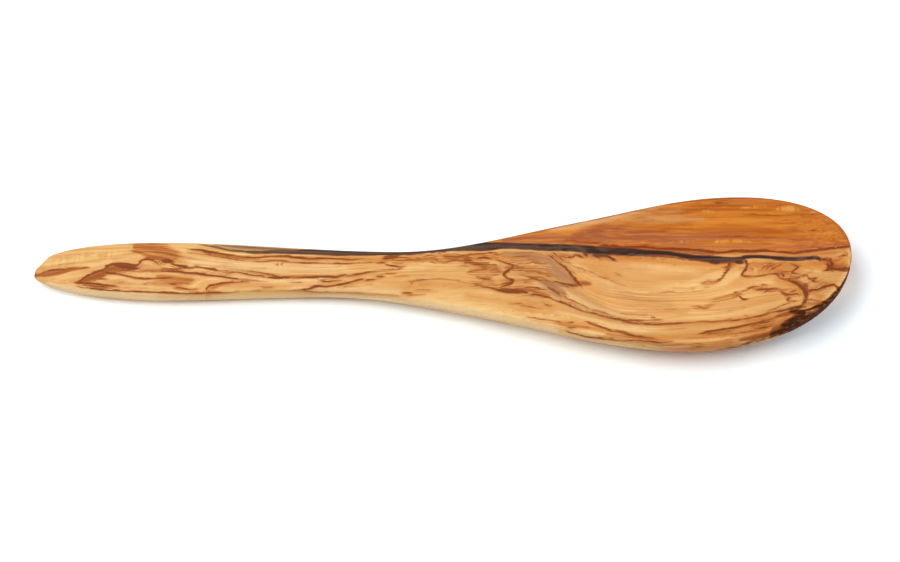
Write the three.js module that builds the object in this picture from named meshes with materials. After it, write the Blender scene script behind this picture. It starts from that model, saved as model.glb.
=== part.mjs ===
// Cooking spoon carved from one billet of olive wood.
// Millimetres, +Z up. The spoon lies bowl up, with X from the handle's tip to the bowl's tip.
// Its straighter long edge, at +Y, is called the back edge, and its fuller one, at -Y, the front edge.
// The origin is under the middle of the spoon, on the surface that it lies on.

import * as THREE from "three";
import { ParametricGeometry } from "three/addons/geometries/ParametricGeometry.js";
import { mergeVertices } from "three/addons/utils/BufferGeometryUtils.js";

// Lengths along the spoon, one after the other
const TIP_TO_GRIP = 46; // handle's tip to the widest place of the grip
const GRIP_TO_NECK = 88; // on to the narrowest place of the back edge
const NECK_TO_HOLLOW = 53; // on to the near end of the hollow
const HOLLOW_TO_BOWL_TIP = 112.6; // on to the bowl's tip

// Plan of the back edge, measured from the middle line of the grip
const GRIP_BACK = 11.4;
const NECK_BACK = 6.8;
const SHOULDER_BACK = 17;
const SHOULDER_BACK_PAST_HOLLOW = 13; // how far past the hollow's near end the shoulder lies
const SHOULDER_BACK_SLOPE = 0.18; // how fast the edge swings out there
const BOWL_BACK = 26.6;
const BOWL_BACK_FROM_TIP = 41; // where the bowl is widest on this side

// Plan of the front edge, measured from the same line
const GRIP_FRONT = 11.4;
const NECK_FRONT = 10.1;
const NECK_FRONT_LEAD = 33; // how far this edge's narrowest place lies nearer the handle's tip
const SHOULDER_FRONT = 24.5;
const SHOULDER_FRONT_BEFORE_HOLLOW = 9;
const SHOULDER_FRONT_SLOPE = 0.29;
const BOWL_FRONT = 37.1;
const BOWL_FRONT_FROM_TIP = 60;

// The two ends. A fullness is a superellipse's exponent: 2 is an ellipse and more is squarer.
const HANDLE_TIP_TO_FRONT = 2; // the handle's tip lies this far in front of the grip's middle line
const BOWL_TIP_TO_BACK = 3; // the bowl's tip lies this far behind it
const HANDLE_END_BACK_FULLNESS = 2.9;
const HANDLE_END_FRONT_FULLNESS = 1.6;
const BOWL_END_BACK_FULLNESS = 2.2;
const BOWL_END_FRONT_FULLNESS = 2;

// Oblique cut that makes the handle's round end a blunt point, on the back edge only
const HANDLE_CUT_TO_BACK = 0.2; // at the handle's tip the cut lies this far behind the grip's middle line
const HANDLE_CUT_SLOPE = 1.37; // how fast it runs out from there
const HANDLE_CUT_ROUND = 1.2; // how close to the edge it begins to blend in

// Heights of the upper face above the table
const HANDLE_TIP_HEIGHT = 7.5;
const GRIP_HEIGHT = 9.4;
const NECK_HEIGHT = 10.3;
const RIM_HEIGHT = 16.4;
const BOWL_TIP_HEIGHT = 17;
const HANDLE_CROWN = 0.5; // how far the handle's upper face falls from its middle to its edges

// Underside. It is sanded flat where it lies on the table, under the grip and under the bowl.
const HANDLE_TIP_LIFT = 2.8;
const NECK_LIFT = 2.2;
const REST_FROM_HANDLE_TIP = 24; // the handle's flat begins this far from its tip
const REST_PAST_GRIP = 44; // and ends this far past the grip's widest place
const BELLY_PAST_HOLLOW = 28; // the bowl's flat begins this far past the hollow's near end
const SANDED_OFF = 0.2; // depth of wood sanded away at the flats
const HANDLE_UNDERSIDE_FULLNESS = 3.2;
const BELLY_FULLNESS = 2.5;

// Hollow of the bowl
const FLOOR_THICKNESS = 5.2;
const RIM_WIDTH = 2;
const HOLLOW_RUN_OUT = 45; // length over which the hollow opens to its full width
const HOLLOW_BACK_FULLNESS = 3.4; // of the hollow's near end in plan
const HOLLOW_FRONT_FULLNESS = 2.4;
const HOLLOW_WALL_POWER = 2.3; // of the hollow's cross section: 2 is a parabola
const HOLLOW_EDGE_SOFTNESS = 0.35;

// Rounding of the upper edge, all the way round
const EDGE_ROUND = 1.4; // reach in from the edge
const EDGE_DROP = 1.6; // height

// The surface is a net, whose two halves meet exactly if the steps round it are a power of two
const ROUND_STEP_COUNT = 128; // along the back edge to the bowl's tip and home along the front edge
const OVER_STEP_COUNT = 20; // from the upper middle line over the edge to the lower middle line
const HANDLE_SHARE = 0.4; // share of the steps along an edge that the handle takes
const UPPER_CROWDING = 1.8; // how much closer the steps lie towards the edge
const LOWER_CROWDING = 2.2;
const MIDDLE_LINE_FROM_HANDLE_TIP = 9; // where the net's middle line begins and ends
const MIDDLE_LINE_FROM_BOWL_TIP = 27;

const GRIP_AT = TIP_TO_GRIP;
const NECK_AT = GRIP_AT + GRIP_TO_NECK;
const HOLLOW_AT = NECK_AT + NECK_TO_HOLLOW;
const LENGTH = HOLLOW_AT + HOLLOW_TO_BOWL_TIP;

const BACK_EDGE = {
  grip: GRIP_BACK,
  neck: NECK_BACK,
  neckAt: NECK_AT,
  shoulder: SHOULDER_BACK,
  shoulderAt: HOLLOW_AT + SHOULDER_BACK_PAST_HOLLOW,
  shoulderSlope: SHOULDER_BACK_SLOPE,
  widest: BOWL_BACK,
  widestAt: LENGTH - BOWL_BACK_FROM_TIP,
  handleEnd: HANDLE_END_BACK_FULLNESS,
  bowlEnd: BOWL_END_BACK_FULLNESS,
  hollow: HOLLOW_BACK_FULLNESS,
};
const FRONT_EDGE = {
  grip: -GRIP_FRONT,
  neck: -NECK_FRONT,
  neckAt: NECK_AT - NECK_FRONT_LEAD,
  shoulder: -SHOULDER_FRONT,
  shoulderAt: HOLLOW_AT - SHOULDER_FRONT_BEFORE_HOLLOW,
  shoulderSlope: -SHOULDER_FRONT_SLOPE,
  widest: -BOWL_FRONT,
  widestAt: LENGTH - BOWL_FRONT_FROM_TIP,
  handleEnd: HANDLE_END_FRONT_FULLNESS,
  bowlEnd: BOWL_END_FRONT_FULLNESS,
  hollow: HOLLOW_FRONT_FULLNESS,
};
const RIM_AT = (BACK_EDGE.widestAt + FRONT_EDGE.widestAt) / 2;

// Stations of the upper face and of the underside: distance from the handle's tip, then height
const UPPER_STATIONS = [
  [0, HANDLE_TIP_HEIGHT],
  [GRIP_AT, GRIP_HEIGHT],
  [NECK_AT, NECK_HEIGHT],
  [RIM_AT, RIM_HEIGHT],
  [LENGTH, BOWL_TIP_HEIGHT],
];
const LOWER_STATIONS = [
  [0, HANDLE_TIP_LIFT],
  [REST_FROM_HANDLE_TIP, -SANDED_OFF],
  [GRIP_AT + REST_PAST_GRIP, -SANDED_OFF],
  [NECK_AT, NECK_LIFT],
  [HOLLOW_AT + BELLY_PAST_HOLLOW, -SANDED_OFF],
  [LENGTH, -SANDED_OFF],
];

const clamp = THREE.MathUtils.clamp;
const ease = THREE.MathUtils.smoothstep; // 0 to 1 between two values, level at both

// A smooth curve through stations, level at each of them
function through(stations, x) {
  let height = stations[0][1];
  for (let i = 1; i < stations.length; i++) {
    const [fromX, fromHeight] = stations[i - 1];
    const [toX, toHeight] = stations[i];
    height += (toHeight - fromHeight) * ease(x, fromX, toX);
  }
  return height;
}

// A cubic from one place to another, with a given slope at each
function bend(x, fromX, fromY, fromSlope, toX, toY, toSlope) {
  const run = toX - fromX;
  const t = clamp((x - fromX) / run, 0, 1);
  const level = fromY + (toY - fromY) * ease(x, fromX, toX);
  return level + run * t * (1 - t) * (fromSlope * (1 - t) - toSlope * t);
}

// A quarter of a superellipse, from 0 at its tip to 1 at its widest place
function quarter(share, fullness) {
  const rest = clamp(1 - share, 0, 1);
  return (1 - rest ** fullness) ** (1 / fullness);
}

// The lesser of two distances, with the corner between them rounded
function trimmed(distance, limit, round) {
  const overlap = Math.max(round - Math.abs(distance - limit), 0);
  return Math.min(distance, limit) - overlap ** 2 / (4 * round);
}

// Distance of a long edge from the grip's middle line: a round end, which is cut at the back, the taper to
// the neck, the swing out over the shoulder to the bowl's widest place, and a round end
function edgeAt(x, edge) {
  if (x > edge.widestAt) {
    const round = quarter((LENGTH - x) / (LENGTH - edge.widestAt), edge.bowlEnd);
    return BOWL_TIP_TO_BACK + (edge.widest - BOWL_TIP_TO_BACK) * round;
  }
  const { neckAt, neck, shoulderAt, shoulder, shoulderSlope, widestAt, widest } = edge;
  if (x > shoulderAt) return bend(x, shoulderAt, shoulder, shoulderSlope, widestAt, widest, 0);
  if (x > neckAt) return bend(x, neckAt, neck, 0, shoulderAt, shoulder, shoulderSlope);
  if (x > GRIP_AT) return bend(x, GRIP_AT, edge.grip, 0, neckAt, neck, 0);
  const round = quarter(x / GRIP_AT, edge.handleEnd);
  const distance = -HANDLE_TIP_TO_FRONT + (edge.grip + HANDLE_TIP_TO_FRONT) * round;
  return trimmed(distance, HANDLE_CUT_TO_BACK + HANDLE_CUT_SLOPE * x, HANDLE_CUT_ROUND);
}

// The net's middle line, half way between the edges. It is shorter than the spoon,
// so that the net fans out from its two ends into the round ends.
function middleAt(x) {
  let middleX = x;
  const left = LENGTH - x;
  if (x < 2 * MIDDLE_LINE_FROM_HANDLE_TIP) {
    middleX = MIDDLE_LINE_FROM_HANDLE_TIP + x / 2;
  } else if (left < 2 * MIDDLE_LINE_FROM_BOWL_TIP) {
    middleX = LENGTH - MIDDLE_LINE_FROM_BOWL_TIP - left / 2;
  }
  const middleY = (edgeAt(middleX, BACK_EDGE) + edgeAt(middleX, FRONT_EDGE)) / 2;
  return new THREE.Vector2(middleX, middleY);
}

// Depth of the hollow below the long profile of the upper face. Its level lines are superellipses at the
// near end and follow the rim elsewhere, and a soft maximum with zero rounds the lip where it runs out.
function hollowDepth(x, across, reach, edge) {
  const depth = through(UPPER_STATIONS, x) - FLOOR_THICKNESS;
  const sideways = (across * reach) / (reach - RIM_WIDTH);
  const lengthways = Math.max((HOLLOW_AT + HOLLOW_RUN_OUT - x) / HOLLOW_RUN_OUT, 0);
  const outward = (lengthways ** edge.hollow + sideways ** edge.hollow) ** (1 / edge.hollow);
  const raw = depth * (1 - outward ** HOLLOW_WALL_POWER);
  return HOLLOW_EDGE_SOFTNESS * Math.log1p(Math.exp(raw / HOLLOW_EDGE_SOFTNESS));
}

// How far the handle's crowned upper face has fallen at a place across it
function crownFall(x, across) {
  return HANDLE_CROWN * (1 - ease(x, NECK_AT, HOLLOW_AT)) * across ** 2;
}

// Height of the upper face: the long profile, less the hollow, the crown and the rounded edge
function upperHeight(x, across, reach, edge) {
  const round = Math.min(EDGE_ROUND, reach / 2);
  const overEdge = clamp((round - (1 - across) * reach) / round, 0, 1);
  const edgeFall = EDGE_DROP * (1 - Math.sqrt(1 - overEdge ** 2));
  const fall = hollowDepth(x, across, reach, edge) + crownFall(x, across) + edgeFall;
  return through(UPPER_STATIONS, x) - fall;
}

// Height of the underside: a superellipse from the edge down to the long profile of the underside,
// cut off level where it would go below the table
function lowerHeight(x, across, edgeHeight) {
  const swing = ease(x, NECK_AT, HOLLOW_AT);
  const fullness = THREE.MathUtils.lerp(HANDLE_UNDERSIDE_FULLNESS, BELLY_FULLNESS, swing);
  const drop = edgeHeight - through(LOWER_STATIONS, x);
  return Math.max(edgeHeight - drop * (1 - across ** fullness) ** (1 / fullness), 0);
}

// Distance from the handle's tip after a share of an edge's steps, which crowd at both tips
function distanceAlong(share) {
  if (share < HANDLE_SHARE) {
    return HOLLOW_AT * (1 - Math.cos(((Math.PI / 2) * share) / HANDLE_SHARE));
  }
  const bowlShare = (share - HANDLE_SHARE) / (1 - HANDLE_SHARE);
  return HOLLOW_AT + HOLLOW_TO_BOWL_TIP * Math.sin((Math.PI / 2) * bowlShare);
}

// A point of the spoon's skin. u goes along the back edge and home along the front edge,
// and v from the upper middle line over the edge to the lower middle line.
function skinPoint(u, v, point) {
  const edge = u <= 0.5 ? BACK_EDGE : FRONT_EDGE;
  const edgeX = distanceAlong(u <= 0.5 ? 2 * u : 2 - 2 * u);
  const onEdge = new THREE.Vector2(edgeX, edgeAt(edgeX, edge));
  const onMiddle = middleAt(edgeX);
  const reach = onEdge.distanceTo(onMiddle);
  const isUpper = v <= 0.5;
  const crowding = isUpper ? UPPER_CROWDING : LOWER_CROWDING;
  const across = 1 - Math.abs(1 - 2 * v) ** crowding;
  const place = onMiddle.lerp(onEdge, across);
  const edgeHeight = upperHeight(edgeX, 1, reach, edge);
  const height = isUpper
    ? upperHeight(place.x, across, reach, edge)
    : lowerHeight(place.x, across, edgeHeight);
  point.set(place.x, place.y, height);
}

const skin = new ParametricGeometry(skinPoint, ROUND_STEP_COUNT, OVER_STEP_COUNT);
skin.deleteAttribute("normal");
skin.deleteAttribute("uv");
const body = mergeVertices(skin);
body.computeVertexNormals();
body.computeBoundingBox();
const middle = body.boundingBox.getCenter(new THREE.Vector3());

const oliveWood = new THREE.MeshStandardMaterial({ color: 0xdba267, roughness: 0.45, metalness: 0 });
const spoon = new THREE.Mesh(body, oliveWood);
spoon.name = "spoon";
spoon.position.set(-middle.x, -middle.y, 0);

const carvedSpoon = new THREE.Group();
carvedSpoon.add(spoon);

export default carvedSpoon;
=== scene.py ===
"""Cooking spoon carved from one billet of olive wood, lying bowl up on a white table.

The spoon's skin is worked out in millimetres, x from the handle's tip, y from the grip's middle line and
z up from the table, and is then put into the frame in metres. The wood's figure is drawn as strokes in the
photograph's frame of 900 by 562 pixels. A point of the skin takes the figure from the place where the
camera would see it, so the figure runs down through the wood, and slants a little on its way.
"""
import math

import bpy
import numpy as np
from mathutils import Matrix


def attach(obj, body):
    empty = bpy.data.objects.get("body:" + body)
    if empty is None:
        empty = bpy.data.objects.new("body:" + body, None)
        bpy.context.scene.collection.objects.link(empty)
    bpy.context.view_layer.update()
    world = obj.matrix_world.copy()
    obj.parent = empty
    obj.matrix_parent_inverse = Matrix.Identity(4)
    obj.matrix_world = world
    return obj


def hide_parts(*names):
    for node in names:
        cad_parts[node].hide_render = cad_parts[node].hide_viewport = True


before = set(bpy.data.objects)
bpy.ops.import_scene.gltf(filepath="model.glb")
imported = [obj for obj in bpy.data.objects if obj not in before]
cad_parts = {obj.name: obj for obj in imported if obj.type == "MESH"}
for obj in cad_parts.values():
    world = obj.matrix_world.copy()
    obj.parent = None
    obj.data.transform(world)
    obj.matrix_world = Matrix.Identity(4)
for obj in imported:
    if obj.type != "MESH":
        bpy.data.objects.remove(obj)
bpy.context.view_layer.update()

MILLIMETRE = 0.001

# Places along the spoon, from the handle's tip
GRIP_AT = 46.0
NECK_AT = 134.0
HOLLOW_AT = 187.0
LENGTH = 299.6

# Plan of the two long edges. A fullness is a superellipse's exponent.
HANDLE_TIP_Y = -2.0
BOWL_TIP_Y = 3.0
BACK_EDGE = {
    "grip": 11.4, "handle_fullness": 2.9,
    "neck": 6.8, "neck_at": NECK_AT,
    "shoulder": 17.0, "shoulder_at": HOLLOW_AT + 13.0, "shoulder_slope": 0.18,
    "widest": 26.6, "widest_at": LENGTH - 41.0, "bowl_fullness": 2.2,
    "hollow_fullness": 3.4,
}
FRONT_EDGE = {
    "grip": -11.4, "handle_fullness": 1.6,
    "neck": -10.1, "neck_at": NECK_AT - 33.0,
    "shoulder": -24.5, "shoulder_at": HOLLOW_AT - 9.0, "shoulder_slope": -0.29,
    "widest": -37.1, "widest_at": LENGTH - 60.0, "bowl_fullness": 2.0,
    "hollow_fullness": 2.4,
}
# Oblique cut across the back of the handle's round end
HANDLE_CUT_Y = 0.2
HANDLE_CUT_SLOPE = 1.37
HANDLE_CUT_ROUND = 1.2
RIM_AT = (BACK_EDGE["widest_at"] + FRONT_EDGE["widest_at"]) / 2

# Long profiles: distance from the handle's tip, then height above the table
UPPER_PROFILE = [(0.0, 7.5), (GRIP_AT, 9.4), (NECK_AT, 10.3), (RIM_AT, 16.4), (LENGTH, 17.0)]
LOWER_PROFILE = [
    (0.0, 2.8), (24.0, -0.2), (GRIP_AT + 44.0, -0.2),
    (NECK_AT, 2.2), (HOLLOW_AT + 28.0, -0.2), (LENGTH, -0.2),
]
HANDLE_CROWN = 0.5
HANDLE_UNDERSIDE_FULLNESS = 3.2
BELLY_FULLNESS = 2.5

# Hollow and edge
FLOOR_THICKNESS = 5.2
RIM_WIDTH = 2.0
HOLLOW_RUN_OUT = 45.0
HOLLOW_WALL_POWER = 2.3
HOLLOW_EDGE_SOFTNESS = 0.35
EDGE_ROUND = 1.4
EDGE_DROP = 1.6

# Net of the skin
COLUMNS_ALONG_EDGE = 604
ROWS_ABOVE = 66
ROWS_BELOW = 15
CROWDING_ABOVE = 1.2
CROWDING_BELOW = 2.2
HANDLE_DENSITY = 0.5
DENSE_FROM, DENSE_AT = 105.0, 150.0
MIDDLE_LINE_FROM_HANDLE_TIP = 9.0
MIDDLE_LINE_FROM_BOWL_TIP = 27.0
OUTLINE_SAMPLES = 20001

# Camera at the photograph's place
PICTURE_WIDTH, PICTURE_HEIGHT = 900, 562
LENS, SENSOR = 100.0, 36.0
VIEW_DISTANCE = 917.0
VIEW_ELEVATION = math.radians(58)
VIEW_AIM = np.array([152.9, -4.71, 6.93])
FOCAL_PIXELS = PICTURE_WIDTH * LENS / SENSOR

# Table and studio, in metres. The extra is what the camera and reflections see on top of the table's own
# colour, and between two distances from the spoon they pass over to plain white.
TABLE_REACH = 4.0
TABLE_COLOUR = (0.96, 0.96, 0.96, 1.0)
TABLE_EXTRA = (0.18, 0.26, 0.31, 1.0)
TABLE_CLEARS_FROM, TABLE_CLEARS_AT = 0.35, 0.9
BLACK = (0.0, 0.0, 0.0, 1.0)
WHITE = (1.0, 1.0, 1.0, 1.0)
FILL_COLOUR = (0.9, 1.0, 1.1, 1.0)
FILL_STRENGTH = 0.15
SOFT_BOXES = [
    {
        "name": "left_soft_box", "place": (-0.7, -0.12, 1.2),
        "size": 1.2, "power": 18.8, "tint": (1.01, 1.0, 0.97),
    },
    {
        "name": "right_soft_box", "place": (0.9, 0.1, 0.45),
        "size": 0.7, "power": 6.0, "tint": (1.0, 1.0, 1.0),
    },
]

# Slow waves by which the figure slants on its way down. Each has its pixels of shift for a millimetre of
# depth, the millimetres that it takes for a radian along the spoon and across it, and its first phase.
WAVES_ALONG = [(1.4, 19.0, math.inf, 0.6), (0.8, 7.3, math.inf, 0.0)]
WAVES_ACROSS = [(0.35, 26.0, math.inf, 2.0), (0.2, 9.1, 11.0, 0.0)]

# Steps of a curve between two points of a stroke, for its marks and for the grain that it guides
MARK_STEPS = 6
GUIDE_STEPS = 3

# A stroke fades over so many pixels at each end, to a share of its strength
END_FADE = 4.0
LINE_END_SHARE = 0.45
WASH_END_SHARE = 0.25

# How far outside a sharp stroke its distance is still measured, in pixels of the photograph's frame, how
# fast its strength gives way to the next stroke's, and the share that stands for no stroke at all
LINE_SKIRT = 4.0
LINE_BLEND = 2.0
NO_SHARE = 1e-6

# The stain that a vein bleeds: how far below it, how much wider and how strong
BLEED_SHIFT = 0.6
BLEED_WIDTH = 2.4
BLEED_SHARE = 0.6

# How strokes guide the growth layers, in the same pixels, and the weight of level grain against them
GUIDE_LENGTH = 22.0
GUIDE_REACH_ALONG = 16.0
GUIDE_REACH_ACROSS = 7.0
LEVEL_GRAIN_WEIGHT = 0.3
LAYER_STEP = 3.0
INSIDE_LAST_CELL = 0.001

# The figure's strokes: a strength, then points as u, v and half width in pixels of the photograph's frame.
# A point without a half width takes it from its neighbours.

# Dark heartwood along the back, from the handle into the bowl
HEART_STROKES = [
    (0.6, (199, 244.5, 0.3), (208, 245.8, 0.6), (216, 247.2, 0.8), (222, 248.6), (230, 250.2, 0.9),
     (240, 251, 1.0), (250, 252, 1.2), (262, 252.4, 1.3)),
    (1.0, (244, 251.4, 0.6), (262, 252.3, 1.2), (275, 251.8, 1.4), (290, 251.8, 1.7), (303, 251.8, 2.2),
     (320, 252, 2.7), (340, 252.3, 2.9), (360, 252.4), (380, 252.2), (395, 252.3, 2.7), (410, 252.2, 2.1),
     (424, 251.6, 1.5), (437, 250.4, 1.2), (450, 249.2, 1.6), (460, 248.2, 2.4), (470, 247.1, 3.3),
     (480, 246.6, 3.9), (490, 246.4, 3.8), (500, 245.8, 3.0), (510, 245.6, 2.7), (520, 246),
     (530, 246.5, 2.9), (540, 247.1, 3.2), (560, 247.7, 3.1), (570, 248.1), (580, 248.8, 3.2),
     (590, 249.9, 3.8), (600, 250.5, 3.5), (610, 250.9, 3.1), (620, 251.4, 3.4), (630, 252, 3.6),
     (640, 252.4, 2.8), (650, 252.5, 2.1), (660, 252.9, 1.8), (670, 253.6, 1.7), (680, 255, 1.8),
     (690, 256.6, 2.0), (700, 257.8, 2.3), (710, 258.7, 2.7), (720, 259.2, 2.5), (730, 259.2, 2.0),
     (740, 258.9, 1.8), (745, 257.2, 1.5), (752, 256.6), (760, 256.7), (770, 257.4, 1.4),
     (780, 258.5, 1.7), (790, 259, 1.8), (800, 258.9), (810, 258, 1.5), (816, 257.7), (820, 259.4, 1.2),
     (820.6, 261, 0.8)),
    (0.6, (583, 252, 1.2), (586, 254.6, 1.3), (587, 257, 0.8)),
    (0.7, (592, 253.6, 1.2), (598, 255.6, 1.4), (606, 255.8, 1.2), (612, 258.6, 0.9), (617, 261.6, 0.7)),
    (0.7, (708, 261.6, 1.0), (716, 262.6, 1.4), (722, 261.8, 1.0)),
    (0.85, (734, 261.4, 1.2), (740, 262.6, 1.4), (745, 262, 1.0)),
]
# Paler streaks inside and along the heartwood
ASH_STROKES = [
    (0.7, (212, 245.6, 1.6), (228, 246.8, 2.4), (240, 248, 2.8), (260, 249), (280, 249.8, 2.4),
     (300, 250.6, 1.6)),
    (0.6, (298, 251.4, 0.8), (315, 252, 1.0), (345, 252.4), (376, 252.6, 1.1), (392, 252.4),
     (406, 252, 0.8)),
    (0.5, (448, 248.4, 0.8), (462, 247.4, 1.4), (475, 246.8, 1.8), (488, 246.4, 1.6), (500, 245.6, 1.2),
     (525, 245.6, 1.0), (540, 246.4, 0.8)),
    (0.35, (545, 247.8, 1.2), (560, 247.4, 1.3), (575, 247.6, 1.0), (592, 248.4, 0.8)),
    (0.2, (622, 248.9, 0.8), (640, 249.7, 1.0), (652, 250.3), (664, 250.6), (676, 251.6, 1.1),
     (690, 252.8, 1.4), (702, 253.4, 1.2), (712, 254.6, 0.8)),
    (0.5, (626, 254, 0.8), (645, 255, 0.9), (660, 255.6, 0.6)),
]
# Dark stain on the rim and the wall below it, near the bowl's tip, and painted shade along the rounded rim
# at the tip and on the bowl's lower front wall
BURN_AND_SHADE_STROKES = [
    (1.1, (850, 266, 1.0), (848.4, 272, 1.2), (846.6, 277, 1.4), (844, 282, 1.7), (841, 286.6, 2.0),
     (838, 291.2, 3.2), (834.4, 295.2, 3.6), (830.4, 299, 3.8), (826, 302), (820.6, 305, 3.4),
     (815, 307.2, 2.2), (809.6, 309.4, 2.0), (803.6, 310.8, 1.6), (797, 310.6, 1.2)),
    (1.2, (846, 284, 3.6), (841, 293, 6.0), (834, 302, 8.0), (825, 309, 9.0), (815, 316, 10),
     (804, 322, 10), (793, 327, 9.0), (782, 331, 7.6), (768, 336, 5.0)),
    (1.25, (788, 311.8, 1.6), (796, 311.8, 3.6), (803, 314, 5.2), (800, 318, 6.8), (793, 321.6, 6.4),
     (785, 325.6, 4.8), (778, 329.6, 2.8)),
    # Painted shade along the rounded rim at the bowl's tip
    (0.5, (849.6, 246, 0.8), (851.6, 256, 0.9), (850, 266, 1.0)),
    # Painted shade on the bowl's lower front wall, where it faces down
    (0.45, (716, 350.6, 1.6), (742, 345.6, 4.0), (764, 338.6, 6.0), (784, 331, 7.0)),
    (0.6, (786, 309, 2.0), (797, 307.6, 3.0), (808, 305.6, 3.0)),
]
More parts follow.
